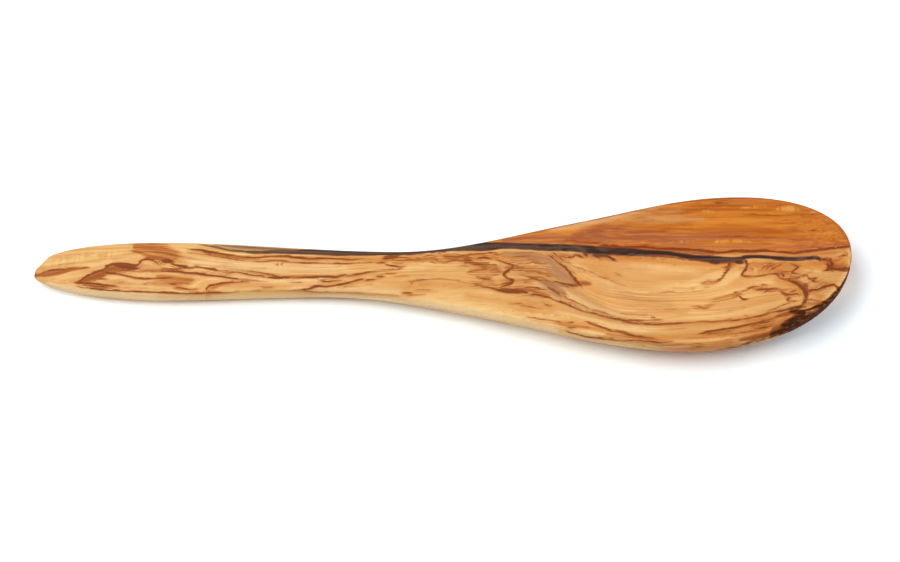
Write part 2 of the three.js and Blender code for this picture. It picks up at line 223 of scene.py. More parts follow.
# Brown veins of the handle, the neck, the hollow, the rim and the burl at the bowl's tip, and painted shade
# lines along the handle's front edge
HANDLE_VEINS_AND_EDGE_SHADE = [
    (0.9, (34.2, 277, 2.0), (35.4, 273.6, 1.6)),
    (0.6, (36, 275.6, 1.2), (44, 272.6, 1.0), (52, 270.8), (60, 269.4, 1.2), (70, 268.6), (80, 268),
     (90, 267.6, 0.7)),
    (0.55, (40, 276.2, 0.8), (48, 275.6, 1.1), (55, 274.8), (62, 273.2, 1.2), (69, 271, 0.8)),
    (0.95, (77, 282.2, 0.9), (84, 278, 1.2), (88, 275.6), (94, 273, 1.3), (100, 271), (104, 269),
     (107, 267), (110, 265.2), (114, 264.3), (120, 263.6), (126, 263.9, 1.1), (131, 265.2, 1.4),
     (136, 265.4), (139, 263.4), (141, 261, 1.2), (144, 259.6), (149, 259.2), (153, 260.2), (156, 262.2),
     (160, 265, 0.9)),
    (1.0, (116, 266, 1.2), (122, 266.4, 2.0), (129, 267.4, 2.4), (136, 268.4, 1.8), (141, 268.6, 1.0)),
    (0.95, (73, 282.6, 0.8), (82, 282.9, 1.2), (88, 283.4, 1.5), (93, 283.6), (98, 284.2, 1.2),
     (104, 285.2), (111, 285.8), (118, 287, 0.7)),
    (0.65, (81, 285.2, 0.8), (90, 286.2), (98, 286.8, 0.9), (106, 287.4), (115, 288.2, 0.7)),
    (0.5, (97, 279.6, 0.8), (104, 279.3), (112, 279.4, 0.6)),
    (0.75, (103, 271.6, 1.4), (110, 273, 1.5), (116, 273.2, 1.1), (120, 273.8), (126, 275.8),
     (132, 277.2), (138, 278.1, 1.2), (146, 278.7), (154, 278.3), (163, 278.4), (174, 277.6, 0.7)),
    (0.65, (110, 269.6, 0.9), (120, 270.2), (128, 270.7, 1.1), (135, 270.9), (142, 271.3), (150, 270.4),
     (156, 269.6), (163, 268.6), (170, 268.7), (176, 269.5), (184, 268.9, 0.7)),
    (0.45, (136, 269, 0.8), (146, 269.4), (153, 268.6), (160, 267.6), (168, 268, 0.7)),
    (0.65, (130, 250.8, 0.9), (137, 251.7, 1.2), (144, 252.2, 0.9)),
    (0.5, (134, 245, 0.9), (145, 244.6), (158, 244.4), (170, 244.8, 0.7)),
    (0.55, (158, 247.4, 0.8), (164, 247.8), (170, 248.6, 0.7)),
    (0.6, (150, 256.6, 0.8), (155, 258.4, 1.0), (160, 257.2), (166, 257.8, 0.8)),
    (0.5, (146, 251.4, 0.7), (156, 252.6), (166, 252, 0.7)),
    (1.0, (161, 260.6, 1.2), (165, 260.9, 2.2), (169, 261.2, 2.4), (173, 262, 1.2)),
    (0.9, (168, 262, 1.2), (174, 264.5, 1.1), (179, 266), (185, 267, 1.3), (190, 267.4),
     (196, 266.7, 1.0), (202, 267.1), (208, 268.4, 1.2), (214, 269.7), (222, 271, 0.9)),
    (0.55, (218, 270.2, 0.8), (230, 270.1), (240, 270.6), (250, 271.3), (258, 272.4), (266, 273.8, 0.9),
     (271, 274.6), (280, 276.4, 0.6)),
    (0.75, (220, 271.4, 0.8), (229, 272.4, 0.9), (236, 272.2), (243, 273.2), (250, 274.4), (257, 275.6),
     (263, 276.5, 1.0), (270, 277.7), (280, 278.2), (292, 277.5, 0.7)),
    (0.85, (148, 271.4, 0.8), (160, 271.1, 1.0), (168, 270.7), (176, 271.5, 1.2), (183, 272.4, 1.3),
     (190, 272.9, 1.4), (197, 273.5, 1.1), (205, 274.7, 1.2), (213, 275.7), (221, 276.7), (229, 277.7),
     (237, 278.9, 1.1), (243, 280.2), (252, 281.8, 0.7)),
    (0.55, (238, 278.8, 0.7), (248, 280, 0.9), (255, 280.8), (262, 281.4), (270, 281.6, 0.6)),
    (0.8, (206.4, 292, 0.9), (207, 288), (208.4, 286.2, 1.1), (211, 285.4), (216, 284.4),
     (222, 283.2, 1.2), (229, 282.4, 1.0), (238, 281.9), (252, 281.2, 0.7)),
    (0.75, (168, 283.4, 0.8), (173, 284.2, 1.2), (178, 284.4, 0.7)),
    (0.5, (174, 287.2, 0.7), (181, 287.8, 1.0), (187, 289.6, 1.1), (196, 290.2, 0.6)),
    (0.9, (188, 248.7, 0.7), (199, 250, 0.9), (206, 251.4, 1.2), (213, 252.6, 1.3), (219, 253.8),
     (225, 254.6), (232, 255.4, 1.3), (238, 256.2), (245, 257, 1.1), (252, 257.6), (258, 257.5),
     (264, 256.8), (271, 256.4), (280, 256.2, 1.0), (290, 256.8), (297, 257.7, 1.1), (304, 258.2),
     (312, 258.4, 1.2), (320, 258.4), (330, 258.6, 0.9), (340, 258.9), (348, 259.4, 1.1), (356, 259.2),
     (366, 258.6, 0.6)),
    (0.6, (186, 252.3, 0.6), (197, 253.4, 0.8), (205, 254.6), (213, 255.8), (221, 257), (230, 258.4),
     (240, 260), (250, 261, 0.9), (257, 261.6), (265, 261.3), (273, 260.8), (282, 260.9), (291, 262),
     (300, 262.9, 1.0), (312, 263), (325, 263.2), (338, 263.7), (350, 263.4), (362, 262.6),
     (376, 262.3, 0.7)),
    (0.3, (240, 258.8, 0.7), (255, 259.6), (270, 258.8), (285, 259.4), (300, 260.2), (325, 260.8, 0.7)),
    (0.8, (268, 276.8, 0.8), (282, 277.4, 1.0), (292, 277.2), (300, 277.6, 1.2), (306, 276.8),
     (314, 277.2), (322, 276.6), (330, 277), (336, 277.5), (339, 276, 1.2), (344, 275.3), (350, 275.5),
     (356, 274.8, 1.0), (362, 273.8), (368, 272.2), (374, 271), (380, 270.3), (390, 269.8),
     (402, 268.6, 0.6)),
    (0.45, (282, 278.8, 0.7), (290, 279.4), (298, 279.7, 0.7)),
    (0.5, (318, 279.4, 0.7), (329, 279.6, 0.7)),
    (0.45, (288, 282, 0.6), (297, 282.4, 0.8), (304, 282.3, 0.6)),
    (0.8, (320, 281.3, 0.7), (328, 281.8, 0.8), (333, 280.8, 1.0), (337, 280.2, 1.1), (344, 280.7, 0.7)),
    (0.85, (300, 290, 0.8), (310, 288.6, 1.0), (314, 287, 1.2), (318, 286, 1.3), (322, 286.2),
     (326, 286.8), (332, 286, 1.0), (338, 284.8, 1.1), (344, 283.9), (350, 282.3), (354, 281),
     (359, 279.8, 1.1), (365, 278.6, 0.6)),
    (0.55, (363, 280.7, 0.7), (370, 280, 0.9), (377, 279.8, 0.7)),
    (0.85, (375, 276, 1.2), (380, 276.4, 1.4), (385, 276.2, 0.9)),
    (0.85, (373, 262.3, 0.8), (380, 262.6, 1.1), (386, 262.4, 0.7)),
    (0.9, (384, 263.8, 0.7), (391, 265.4, 1.1), (396, 266, 0.8)),
    (0.8, (382, 259, 0.8), (390, 258.2, 1.0), (399, 257.3, 0.8)),
    (0.35, (378, 267.8, 0.7), (390, 267), (402, 266.6, 0.7)),
    (0.95, (276.6, 264.6, 1.1), (278.2, 264.4, 1.1)),
    (0.9, (280.8, 264.1, 1.0), (282.4, 263.9, 0.9)),
    (0.6, (259, 286.6, 0.6), (267, 287.6, 0.9), (275, 287.1, 0.6)),
    # Painted shade line where the handle's top face turns down into its front side
    (0.75, (78, 287, 0.7), (95, 288.9, 0.9), (110, 290), (125, 291, 1.0), (140, 291.7), (150, 292),
     (160, 292.5), (170, 293, 1.1), (180, 293.4), (190, 293.4), (200, 293.2), (210, 293, 0.9),
     (220, 292.8), (230, 292.4), (242, 291.4, 0.7)),
    # The same painted shade line along the front edge, further on
    (0.45, (236, 291.8, 0.7), (250, 290.9, 0.9), (262, 290.5), (275, 290.4), (290, 290.7, 1.0),
     (300, 290.7), (312, 291.4), (322, 292.2), (335, 292.6), (345, 292.4), (355, 293), (370, 293.8),
     (385, 294.6), (402, 295.8, 0.7)),
    (0.3, (40, 262, 0.6), (60, 258.6), (84, 256.4), (108, 256, 0.6)),
    (0.25, (56, 265.6, 0.6), (80, 262.6), (104, 261.6, 0.6)),
    (0.3, (116, 283, 0.6), (134, 284.2), (152, 284.4, 0.6)),
    (0.3, (122, 288, 0.6), (146, 288.8), (168, 289.4, 0.6)),
    (0.3, (186, 258, 0.6), (210, 260.6), (236, 263.6, 0.6)),
    (0.3, (212, 265.4, 0.6), (240, 267), (268, 268.6, 0.6)),
    (0.3, (286, 267, 0.6), (312, 267.6), (340, 267.2, 0.6)),
    (0.25, (288, 271.6, 0.6), (316, 272.4), (344, 271.2, 0.6)),
    (0.3, (222, 286.4, 0.6), (240, 285.4), (256, 284.4, 0.6)),
    (0.3, (340, 288.6, 0.6), (358, 285.6), (376, 284.2, 0.6)),
]
NECK_VEINS = [
    (0.75, (382, 256.2, 0.8), (392, 256.2, 1.0), (401, 255.7, 0.7)),
    (0.6, (388, 258.2, 0.7), (400, 257.4, 0.9), (408, 258), (413, 259.7, 0.6)),
    (0.6, (394, 260.7, 0.7), (404, 260, 0.9), (412, 259.4), (418, 260.2, 0.6)),
    (0.45, (398, 262.5, 0.7), (412, 262.4), (426, 262.1, 0.6)),
    (0.8, (388, 265, 0.8), (393, 265.7, 1.1), (399, 267), (406, 266.7, 0.6)),
    (0.5, (404, 255.6, 0.6), (416, 255.4), (425, 254.5, 0.6)),
    (0.8, (415, 258.6, 0.7), (421, 258.6, 0.9)),
    (0.5, (421, 257.4, 0.6), (430, 255.6, 0.8), (438, 255, 0.6)),
    (0.85, (431, 253.4, 0.7), (435, 251.2, 1.0), (439, 250.5), (443, 251), (447, 252.8, 0.7)),
    (0.5, (437, 253.2, 0.9), (442, 253.7, 0.8)),
    (0.75, (427, 257.9, 0.7), (433, 258.2, 0.9), (436, 259.6), (440, 261.4, 1.0), (446, 262.4),
     (450, 261.4), (457, 260, 0.6)),
    (0.75, (429, 260.8, 0.7), (434, 262.2, 0.9), (438, 262.9, 0.6)),
    (0.7, (442, 256.6, 0.7), (450, 256.4, 0.9), (456, 256.4), (462, 255.6), (470, 254.4), (478, 254),
     (488, 253.5, 0.6)),
    (0.5, (450, 259, 0.6), (458, 260.2, 0.8), (466, 261.2, 0.6)),
    (0.85, (462, 258.6, 0.7), (469, 257.8, 0.9), (474, 257.5, 0.6)),
    (0.85, (462, 260.7, 0.7), (468, 260.3, 0.9), (473, 260.1, 0.6)),
    (0.8, (462, 263.1, 0.7), (471, 262.6, 0.9), (480, 262.1, 0.6)),
    (0.9, (476, 258.5, 0.7), (484, 257.6, 1.1), (488, 258), (493, 258.9, 0.7)),
    (0.75, (486, 252.3, 0.7), (492, 252.7, 0.9), (499, 252.8, 0.6)),
    (0.55, (494, 255.3, 0.7), (504, 254.3, 0.7)),
    (0.85, (470, 264.3, 0.7), (480, 264.8, 1.0), (487, 265), (499, 265, 0.7)),
    (0.95, (479, 267.4, 0.8), (484, 267.2, 1.1), (489, 266.8, 0.7)),
    (0.85, (474, 270.7, 0.7), (482, 270, 1.0), (490, 270.2, 0.7)),
    (0.75, (467, 272.2, 0.7), (475, 270.6, 1.0), (482, 269.2, 0.7)),
    (0.7, (488, 269, 0.7), (496, 268.2, 0.9), (502, 268.9, 0.6)),
    (0.6, (494, 270.9, 0.7), (504, 269.4, 0.7)),
    (0.6, (486, 271.7, 0.6), (496, 272, 0.8), (505, 271.7, 0.6)),
    (0.55, (466, 273.4, 0.7), (476, 274.8, 0.9), (490, 274.2, 0.7)),
    (0.7, (478, 277.6, 0.7), (486, 279.6, 1.0), (492, 280.2, 0.7)),
    (0.6, (482, 276.6, 0.7), (494, 277.7, 0.7)),
    (0.6, (478, 283.6, 0.7), (488, 282.6, 0.9), (496, 283.5, 0.7)),
    (0.35, (494, 274.6, 0.6), (502, 275.8, 0.6)),
    (0.6, (500, 256.4, 0.7), (516, 256.8, 0.9), (533, 255.4, 0.6)),
    (0.55, (508, 259.8, 0.6), (523, 260.4, 0.8), (541, 258.8, 0.6)),
    (0.5, (514, 253.2, 0.6), (530, 252.6, 0.8), (545, 252.9, 0.6)),
    (0.5, (518, 275.6, 0.6), (531, 276, 0.8), (542, 277.4, 0.6)),
    (0.5, (515, 271.8, 0.6), (528, 272.4, 0.8), (541, 270.8, 0.6)),
    (0.45, (455, 265.6, 0.6), (464, 266, 0.8), (474, 266.8, 0.6)),
    (1.1, (494, 258.6, 0.7), (500, 260.6, 1.0), (504, 262.2), (508, 263.6, 1.1), (512, 264.6, 1.2),
     (513.5, 265.5), (512, 267.3, 1.2), (510, 269.2), (506.6, 271), (504, 273, 1.3), (503.6, 274.6, 1.5),
     (505.6, 276.4, 1.6), (508, 278), (511.4, 280, 1.4), (513, 281.1, 1.3), (511, 282.6),
     (508, 284.2, 1.1), (504.5, 285.8), (499, 287.6, 0.7)),
    (0.6, (499, 284.9, 0.7), (506, 283.6, 0.9), (511, 282.2, 0.7)),
    (0.65, (513, 264.8, 0.8), (520, 263.8), (527, 264), (535, 262.8), (545, 264.9, 0.6)),
    (0.6, (514, 267.8, 0.7), (522, 270.4, 0.9), (530, 269.6), (538, 268.5, 0.6)),
    (0.3, (516, 274, 0.6), (530, 272.8), (542, 273.6, 0.6)),
    (1.0, (479, 286, 0.8), (486, 286.8, 1.2), (491, 287.8, 1.4), (496, 289.2, 1.7), (501, 290.4, 2.0),
     (508, 291, 2.3), (516, 291.4, 2.2), (522, 291.6, 1.6), (529, 293.2, 0.9)),
    (0.55, (498, 288.7, 0.7), (508, 288.1, 0.9), (516, 288.5), (524, 289.3), (532, 290.6),
     (542, 292.4, 0.7)),
    (0.8, (523, 288.2, 0.7), (532, 287.6, 0.9), (540, 288.8), (546, 289.9, 0.6)),
    (0.7, (526, 290.2, 0.7), (534, 291, 0.9), (543, 293.6, 0.7)),
    (0.9, (530, 294, 0.8), (536, 294.8, 1.1), (541, 295.6, 1.3), (546, 296.4), (550, 297.6),
     (553, 300, 0.8)),
    (0.5, (406, 281.4, 0.7), (414, 280.6), (422, 280.2), (430, 279.6, 1.0), (437, 278.8, 1.1), (445, 279),
     (452, 279.8), (460, 281.4, 0.9), (470, 283.4), (482, 285.8, 0.6)),
    (0.4, (408, 280.4, 0.8), (412, 282.4, 1.0), (410, 285.2, 0.8)),
    (0.5, (415, 289.5, 0.7), (424, 290, 0.9), (432, 290.5, 0.6)),
    (0.85, (400, 293.1, 0.7), (406, 292.8, 1.1), (413, 293.5, 0.7)),
    (0.6, (406, 295.5, 0.7), (416, 294.8, 0.9), (426, 294.3, 0.6)),
    (0.3, (436, 298.4, 0.6), (450, 298.4, 0.6)),
    (0.3, (466, 299.6, 0.6), (482, 301.2, 0.6)),
    (0.35, (472, 303.2, 0.6), (488, 304.8, 0.6)),
    (0.3, (440, 286, 0.6), (462, 287.6, 0.8), (480, 289.4, 0.6)),
    (0.3, (440, 270, 0.6), (455, 269.4), (468, 268.8, 0.6)),
    (0.3, (410, 270.6, 0.6), (424, 270), (440, 269.4, 0.6)),
    (0.3, (398, 275.4, 0.6), (412, 274.4), (428, 274.4, 0.6)),
    (0.45, (507, 303.8, 0.7), (514, 303.5, 0.8), (524, 304, 0.6)),
    (0.45, (518, 305.4, 0.7), (528, 306.4, 1.0), (536, 307.8), (546, 308.4, 0.6)),
    (0.6, (542, 302.2, 0.7), (547, 305, 1.0), (554, 306.2, 0.7)),
    (0.3, (524, 300.4, 0.6), (540, 303.8, 0.6)),
    (0.7, (526, 277.2, 0.7), (534, 278.6, 1.0), (539, 280), (543, 281.4, 0.8)),
]
HOLLOW_VEINS = [
    (0.7, (604, 254, 1.4), (640, 255, 1.8), (670, 256.4, 1.8), (690, 258.8, 1.8), (705, 260.6, 2.0),
     (722, 261.6, 2.0), (742, 260.8, 1.4)),
    (1.0, (547, 254, 0.6), (551, 256.4, 0.8), (555, 259.6, 0.9), (560, 263.6, 1.0), (565, 267.6, 1.2),
     (569, 271.6, 1.5), (572, 275.4, 1.7), (575, 279, 1.9), (577.5, 282), (581, 286, 1.4)),
    (0.85, (543, 279.6, 0.9), (552, 281.6, 1.1), (560, 282.6, 1.2), (566, 284.2, 1.3), (572, 285, 1.5),
     (579, 286.4, 1.2)),
    (0.6, (558, 283, 0.7), (565, 285.6, 0.9), (571, 288, 0.7)),
    (0.6, (551, 251.6, 0.8), (557, 255.6, 1.0), (561, 259.6), (566, 262), (574, 263.8, 0.6)),
    (0.65, (558, 255.6, 0.8), (566, 257, 1.1), (571, 257.6), (574.4, 256.2), (573.8, 253.6, 0.8)),
    (0.8, (574, 254.4, 0.7), (580, 256.4, 1.0), (585, 258, 0.8)),
    (0.6, (590, 254.8, 0.7), (596, 256.8, 1.0), (600, 258.2), (599.4, 261, 0.7)),
    (0.5, (600, 258.2, 0.7), (608, 259.6, 0.8), (615, 261, 0.6)),
    (0.4, (564, 264, 0.7), (575, 266.6, 0.9), (585, 270), (595, 274), (608, 279.8, 0.7)),
    (0.3, (568, 269.8, 0.7), (578, 271.6), (592, 273.8, 0.7)),
    (0.45, (543, 274.2, 0.7), (552, 275.6, 0.9), (562, 276.6, 0.7)),
    (0.6, (546, 286.6, 0.9), (553, 290.4, 1.3), (557, 293), (561, 296.6, 0.9)),
    (0.5, (550, 288.2, 0.8), (560, 291.6, 1.0), (568, 295.2, 0.7)),
    (0.5, (562, 295, 0.8), (569, 299, 1.0), (575, 302), (581, 304.4), (587, 307.4, 1.1), (593, 310),
     (600, 312), (608, 314.2), (618, 317, 0.7)),
    (0.6, (549, 297, 0.8), (556, 300.4, 1.0), (562, 302.8), (568, 304.8), (574, 307.4, 1.1), (580, 310),
     (586, 312), (592, 313.2), (600, 315.6), (608, 317.2), (616, 319, 1.2), (624, 319.7), (632, 319.9),
     (640, 320.2), (648, 320), (655, 319.8, 1.3), (663, 319.5, 0.7)),
    (0.35, (558, 298, 0.7), (566, 302), (574, 305.8), (584, 309.4, 0.7)),
    (0.6, (651, 318.4, 1.0), (653, 316.8, 1.0), (655.4, 318.4, 1.1)),
    (0.65, (620, 321, 0.8), (630, 323, 1.1), (638, 323.8), (646, 324.4, 1.2), (656, 324.6), (666, 324.2),
     (676, 323.6), (686, 323), (694, 322), (704, 321.3), (712, 321.6), (720, 321.2), (731, 319.2, 0.8)),
    (0.35, (636, 311, 0.7), (655, 310.4), (668, 310.2), (680, 309.8), (692, 310.2, 0.7)),
    (0.35, (622, 314.5, 0.7), (635, 315), (650, 315.3, 0.7)),
    (0.5, (688, 306.7, 0.7), (696, 305.8, 0.9), (700, 307), (705, 308.4), (711, 306.6, 0.7)),
    (0.6, (712, 299.4, 0.8), (722, 297, 1.1), (729, 295.4), (737, 293, 0.8)),
    (0.4, (646, 292.2, 0.7), (660, 292.8, 0.9), (670, 292.4), (680, 292.6), (690, 292), (698, 291),
     (706, 289.8, 0.7)),
    (0.45, (670, 288, 0.7), (684, 288.4, 0.8), (697, 288.1, 0.7)),
    (0.6, (698, 283.8, 0.9), (704, 282.8, 1.3), (708, 281, 1.5), (713, 281.6), (719, 280, 1.4),
     (723, 276.4), (726, 272.6, 1.2), (730, 268.6, 0.8)),
    (0.4, (702, 287.2, 0.7), (712, 286.2, 0.8)),
    (0.35, (608, 279.6, 0.7), (618, 283.4), (628, 286.6, 0.7)),
    (0.4, (614, 272.4, 0.7), (622, 276.6, 0.7)),
    (0.25, (630, 300, 0.6), (660, 301.6), (688, 300, 0.6)),
    (0.25, (622, 306, 0.6), (650, 306.8), (676, 305.6, 0.6)),
    (0.25, (624, 268, 0.6), (650, 270.4), (680, 271, 0.6)),
    (0.25, (618, 290, 0.6), (636, 293.4), (652, 296, 0.6)),
    (0.3, (634, 328.4, 0.6), (660, 330), (690, 328.6, 0.6)),
    (0.3, (600, 320.4, 0.6), (622, 326), (646, 329, 0.6)),
    (0.3, (700, 314, 0.6), (724, 312), (748, 307.4, 0.6)),
]
RIM_VEINS = [
    (0.6, (525, 317, 0.7), (534, 317.8, 0.9), (540, 318.8), (546, 319.6), (553, 320.8), (559, 321.8),
     (566, 322.4), (575, 322.7, 0.7)),
    (0.65, (566, 327.4, 0.8), (572, 327.6, 1.0), (578, 327.3, 0.7)),
    (0.65, (585, 321.8, 0.8), (593, 324.4, 1.2), (599, 326.4), (605, 328.4, 1.4), (611, 330.4, 1.6),
     (617, 331.4), (623, 332.8, 1.8), (629, 334.4), (634, 335.8), (640, 336.6), (648, 337.6, 1.0),
     (656, 338.2, 0.6)),
    (0.75, (565, 331.2, 0.7), (574, 333.4, 1.0), (580, 335.2), (586, 336.8), (592, 337.8, 1.1),
     (600, 338.4), (606, 339.2), (612, 339.8, 1.2), (620, 340.2), (630, 340.1), (638, 340.4), (646, 341),
     (654, 341.8), (662, 342.4), (673, 341.8, 0.7)),
    (0.5, (670, 344.6, 0.7), (680, 344.4, 0.8), (688, 344.6), (696, 344), (706, 344.5, 0.6)),
    (0.45, (694, 346.5, 0.7), (705, 346.1, 0.7)),
    (0.75, (697, 334.3, 0.8), (706, 332.4, 1.2), (712, 331.2), (718, 330.2), (724, 329.4), (730, 328.4),
     (738, 327), (746, 325.2, 1.1), (757, 322.6), (764, 320.6), (772, 318.4), (782, 315.2, 0.8)),
    (0.55, (704, 335, 0.7), (716, 333.2, 0.9), (724, 332), (733, 331, 0.7)),
    (0.6, (750, 326, 0.8), (758, 324, 1.0), (766, 322.4), (777, 319.8, 0.8)),
    (0.8, (757, 327.9, 0.8), (768, 326.6, 1.1), (780, 324.9, 0.8)),
    (0.65, (752, 328.7, 0.8), (760, 328.6, 0.9), (769, 328.5, 0.7)),
    (0.45, (716, 335.5, 0.7), (735, 333.6, 0.9), (750, 331.6), (767, 329.6, 0.7)),
    (0.45, (722, 340.5, 0.7), (740, 337.4, 0.9), (755, 334.6), (773, 331.4, 0.7)),
    (0.35, (684, 338.6, 0.7), (706, 337.4), (728, 335.6, 0.7)),
]
BURL_VEINS = [
    (0.9, (820, 258.6, 1.4), (829, 260.4, 1.9), (832, 263.6, 1.5), (829, 267.4, 2.2), (836, 269.2, 1.6),
     (848, 270, 1.6)),
    (0.6, (612, 254.6, 0.7), (625, 256.8, 0.9), (635, 256.5), (645, 256.8), (655, 257), (665, 256.7),
     (672, 257.5), (678, 258.5), (685, 260, 1.0), (693, 260.7), (700, 261), (705, 262),
     (714, 263.2, 0.7)),
    (0.45, (630, 259.3, 0.7), (636, 259, 1.0), (643, 259, 0.7)),
    (0.35, (648, 259.6, 0.7), (668, 259.6, 0.7)),
    (0.35, (654, 262, 0.7), (672, 262, 0.7)),
    (0.5, (673, 264.6, 0.9), (676.4, 264.6, 0.9)),
    (0.9, (727, 261.6, 0.9), (729.4, 264.4, 1.2), (727, 267), (723, 267.6, 0.8)),
    (0.85, (732, 264, 0.8), (729, 268.4, 1.1), (725.4, 272.2, 0.8)),
    (0.6, (731, 268.4, 0.7), (735, 264.8, 0.7)),
    (0.85, (744, 259.6, 1.1), (747, 263.4, 1.4), (746.6, 267, 1.6), (744.6, 270.4, 1.5),
     (742.6, 273.4, 1.3), (741.6, 275.3, 1.2), (746, 276.5, 1.1), (752, 276.4), (758, 276), (764, 275.2),
     (770, 274.1, 0.9)),
    (0.6, (760, 270.6, 0.7), (766, 266.4, 0.9), (773, 262.6, 0.7)),
    (0.6, (764, 271.2, 0.7), (770, 266.6, 0.9), (778, 262.4, 0.7)),
    (0.6, (768, 272, 0.7), (775, 267.6, 0.9), (783, 263.6, 0.7)),
    (0.4, (748, 262.8, 0.7), (760, 263.4, 0.8), (772, 262.8), (790, 262.8), (804, 263.7, 0.6)),
    (0.7, (766, 274.5, 1.0), (774, 273.7, 1.4), (778, 275.2, 1.6), (781, 278), (786, 280.6, 1.2)),
    (0.85, (781, 271.6, 0.7), (783.2, 275, 1.0), (784.2, 279, 0.8)),
    (0.8, (781, 277.6, 0.8), (788, 278.6, 1.1), (793, 278.4), (799, 277.6), (802, 275.4, 0.8)),
    (0.75, (789, 263.3, 0.7), (796, 265.6, 1.1), (798, 266.5, 1.2), (795.6, 269), (793, 271.4, 1.3),
     (792.6, 273.2, 1.2), (796, 273.7, 1.0), (802, 274.8, 0.7)),
    (0.8, (800, 277, 0.7), (804, 274.9, 0.9), (807, 275.4), (809, 277.6, 1.1), (812, 278.5),
     (818, 277.7, 0.7)),
    (0.5, (811, 281.6, 1.1), (817, 281, 1.0)),
    (0.85, (779, 277.8, 1.0), (787, 280, 1.4), (792, 281.4, 1.7), (797, 283.6, 1.9), (801, 286.4, 2.2),
     (804, 289.4, 2.4), (805.6, 293, 2.5), (806, 297, 2.4), (805, 301, 2.2), (802.6, 304.6, 1.9),
     (798, 308.4, 1.4)),
    (0.7, (795, 279.4, 0.8), (803, 284, 1.1), (808, 288.4, 1.0), (809.8, 292, 0.7)),
    (0.65, (798, 280, 0.7), (804, 283, 0.9), (809, 285.8, 0.7)),
    (0.85, (807, 292.4, 0.8), (813, 290, 1.1), (818, 289.6), (822, 287.8), (827, 286), (832, 285),
     (836, 285.4, 1.2), (841, 288.6, 1.0)),
    (0.9, (834, 285.2, 0.9), (838, 287.6, 1.5), (840.6, 291, 1.2)),
    (0.7, (804, 298, 0.8), (812, 299.8, 1.0), (818, 301), (824, 300.9, 0.8)),
    (0.85, (733, 293.4, 0.7), (737, 292.4, 1.1), (742, 292.8, 0.8)),
    (0.85, (738, 293, 0.7), (747, 289.4, 0.9), (751, 287.6), (755, 286.2, 1.1), (760, 286.2),
     (763, 284.7, 0.9), (769, 285.3, 0.6)),
    (0.7, (758, 287, 0.7), (764, 286.6, 0.9), (769, 284.8, 0.6)),
    (0.8, (733.4, 296.6, 0.7), (738.6, 295.5, 0.9), (741, 297.6, 1.0), (744, 299.4), (749, 298.7, 0.6)),
    (0.85, (754, 290.2, 0.7), (762, 289.4, 0.9), (768, 289, 1.2), (774, 288.4, 1.3), (778, 288.6),
     (784, 289.4, 1.0), (790, 289.1, 0.6)),
    (0.7, (762, 293.2, 0.7), (768, 291.2, 0.9), (774, 291.2), (780, 289.8, 0.7)),
    (0.8, (776, 290, 0.8), (782, 292, 1.2), (784.6, 294, 1.3), (785.2, 297, 0.8)),
    (0.8, (783, 294.8, 0.8), (790, 294.6, 1.2), (796, 293.8), (800, 294.8, 0.7)),
    (0.6, (786, 291.8, 0.7), (792, 291.2, 0.9), (798, 289.6, 0.6)),
    (0.85, (793, 296.2, 0.7), (789, 297.8, 1.0), (787, 299.6, 1.1), (788, 301), (791, 300.7),
     (798, 300.7, 0.7)),
    (0.6, (792, 302.2, 0.7), (784, 305, 0.9), (778, 307.4), (772, 309.6), (765, 311.8, 0.7)),
    (0.7, (799, 305.8, 0.8), (790, 308.6, 1.1), (782, 310.4), (774, 312), (768, 313.6), (760, 315.6, 1.0),
     (750, 318), (742, 319.4), (728, 321.2, 0.7)),
    (0.9, (826.6, 257.6, 0.8), (831, 259.4, 1.2), (833, 261, 0.9)),
    (0.95, (825, 263.4, 0.8), (829, 265, 1.4), (834, 265.8, 1.0)),
    (0.9, (832.2, 260.4, 0.8), (831.4, 264, 1.1), (831, 267), (831, 270.4, 0.7)),
    (0.9, (823.6, 270.9, 0.8), (829, 269.4, 1.2), (834, 268.6, 1.4), (840, 268.4, 1.5),
     (852, 268.8, 1.5)),
    (0.7, (836, 257.6, 0.8), (843, 255.6, 1.2), (847, 254.4), (845, 252.2, 0.8)),
    (0.5, (838, 264.7, 0.7), (851, 263.9, 0.8)),
]
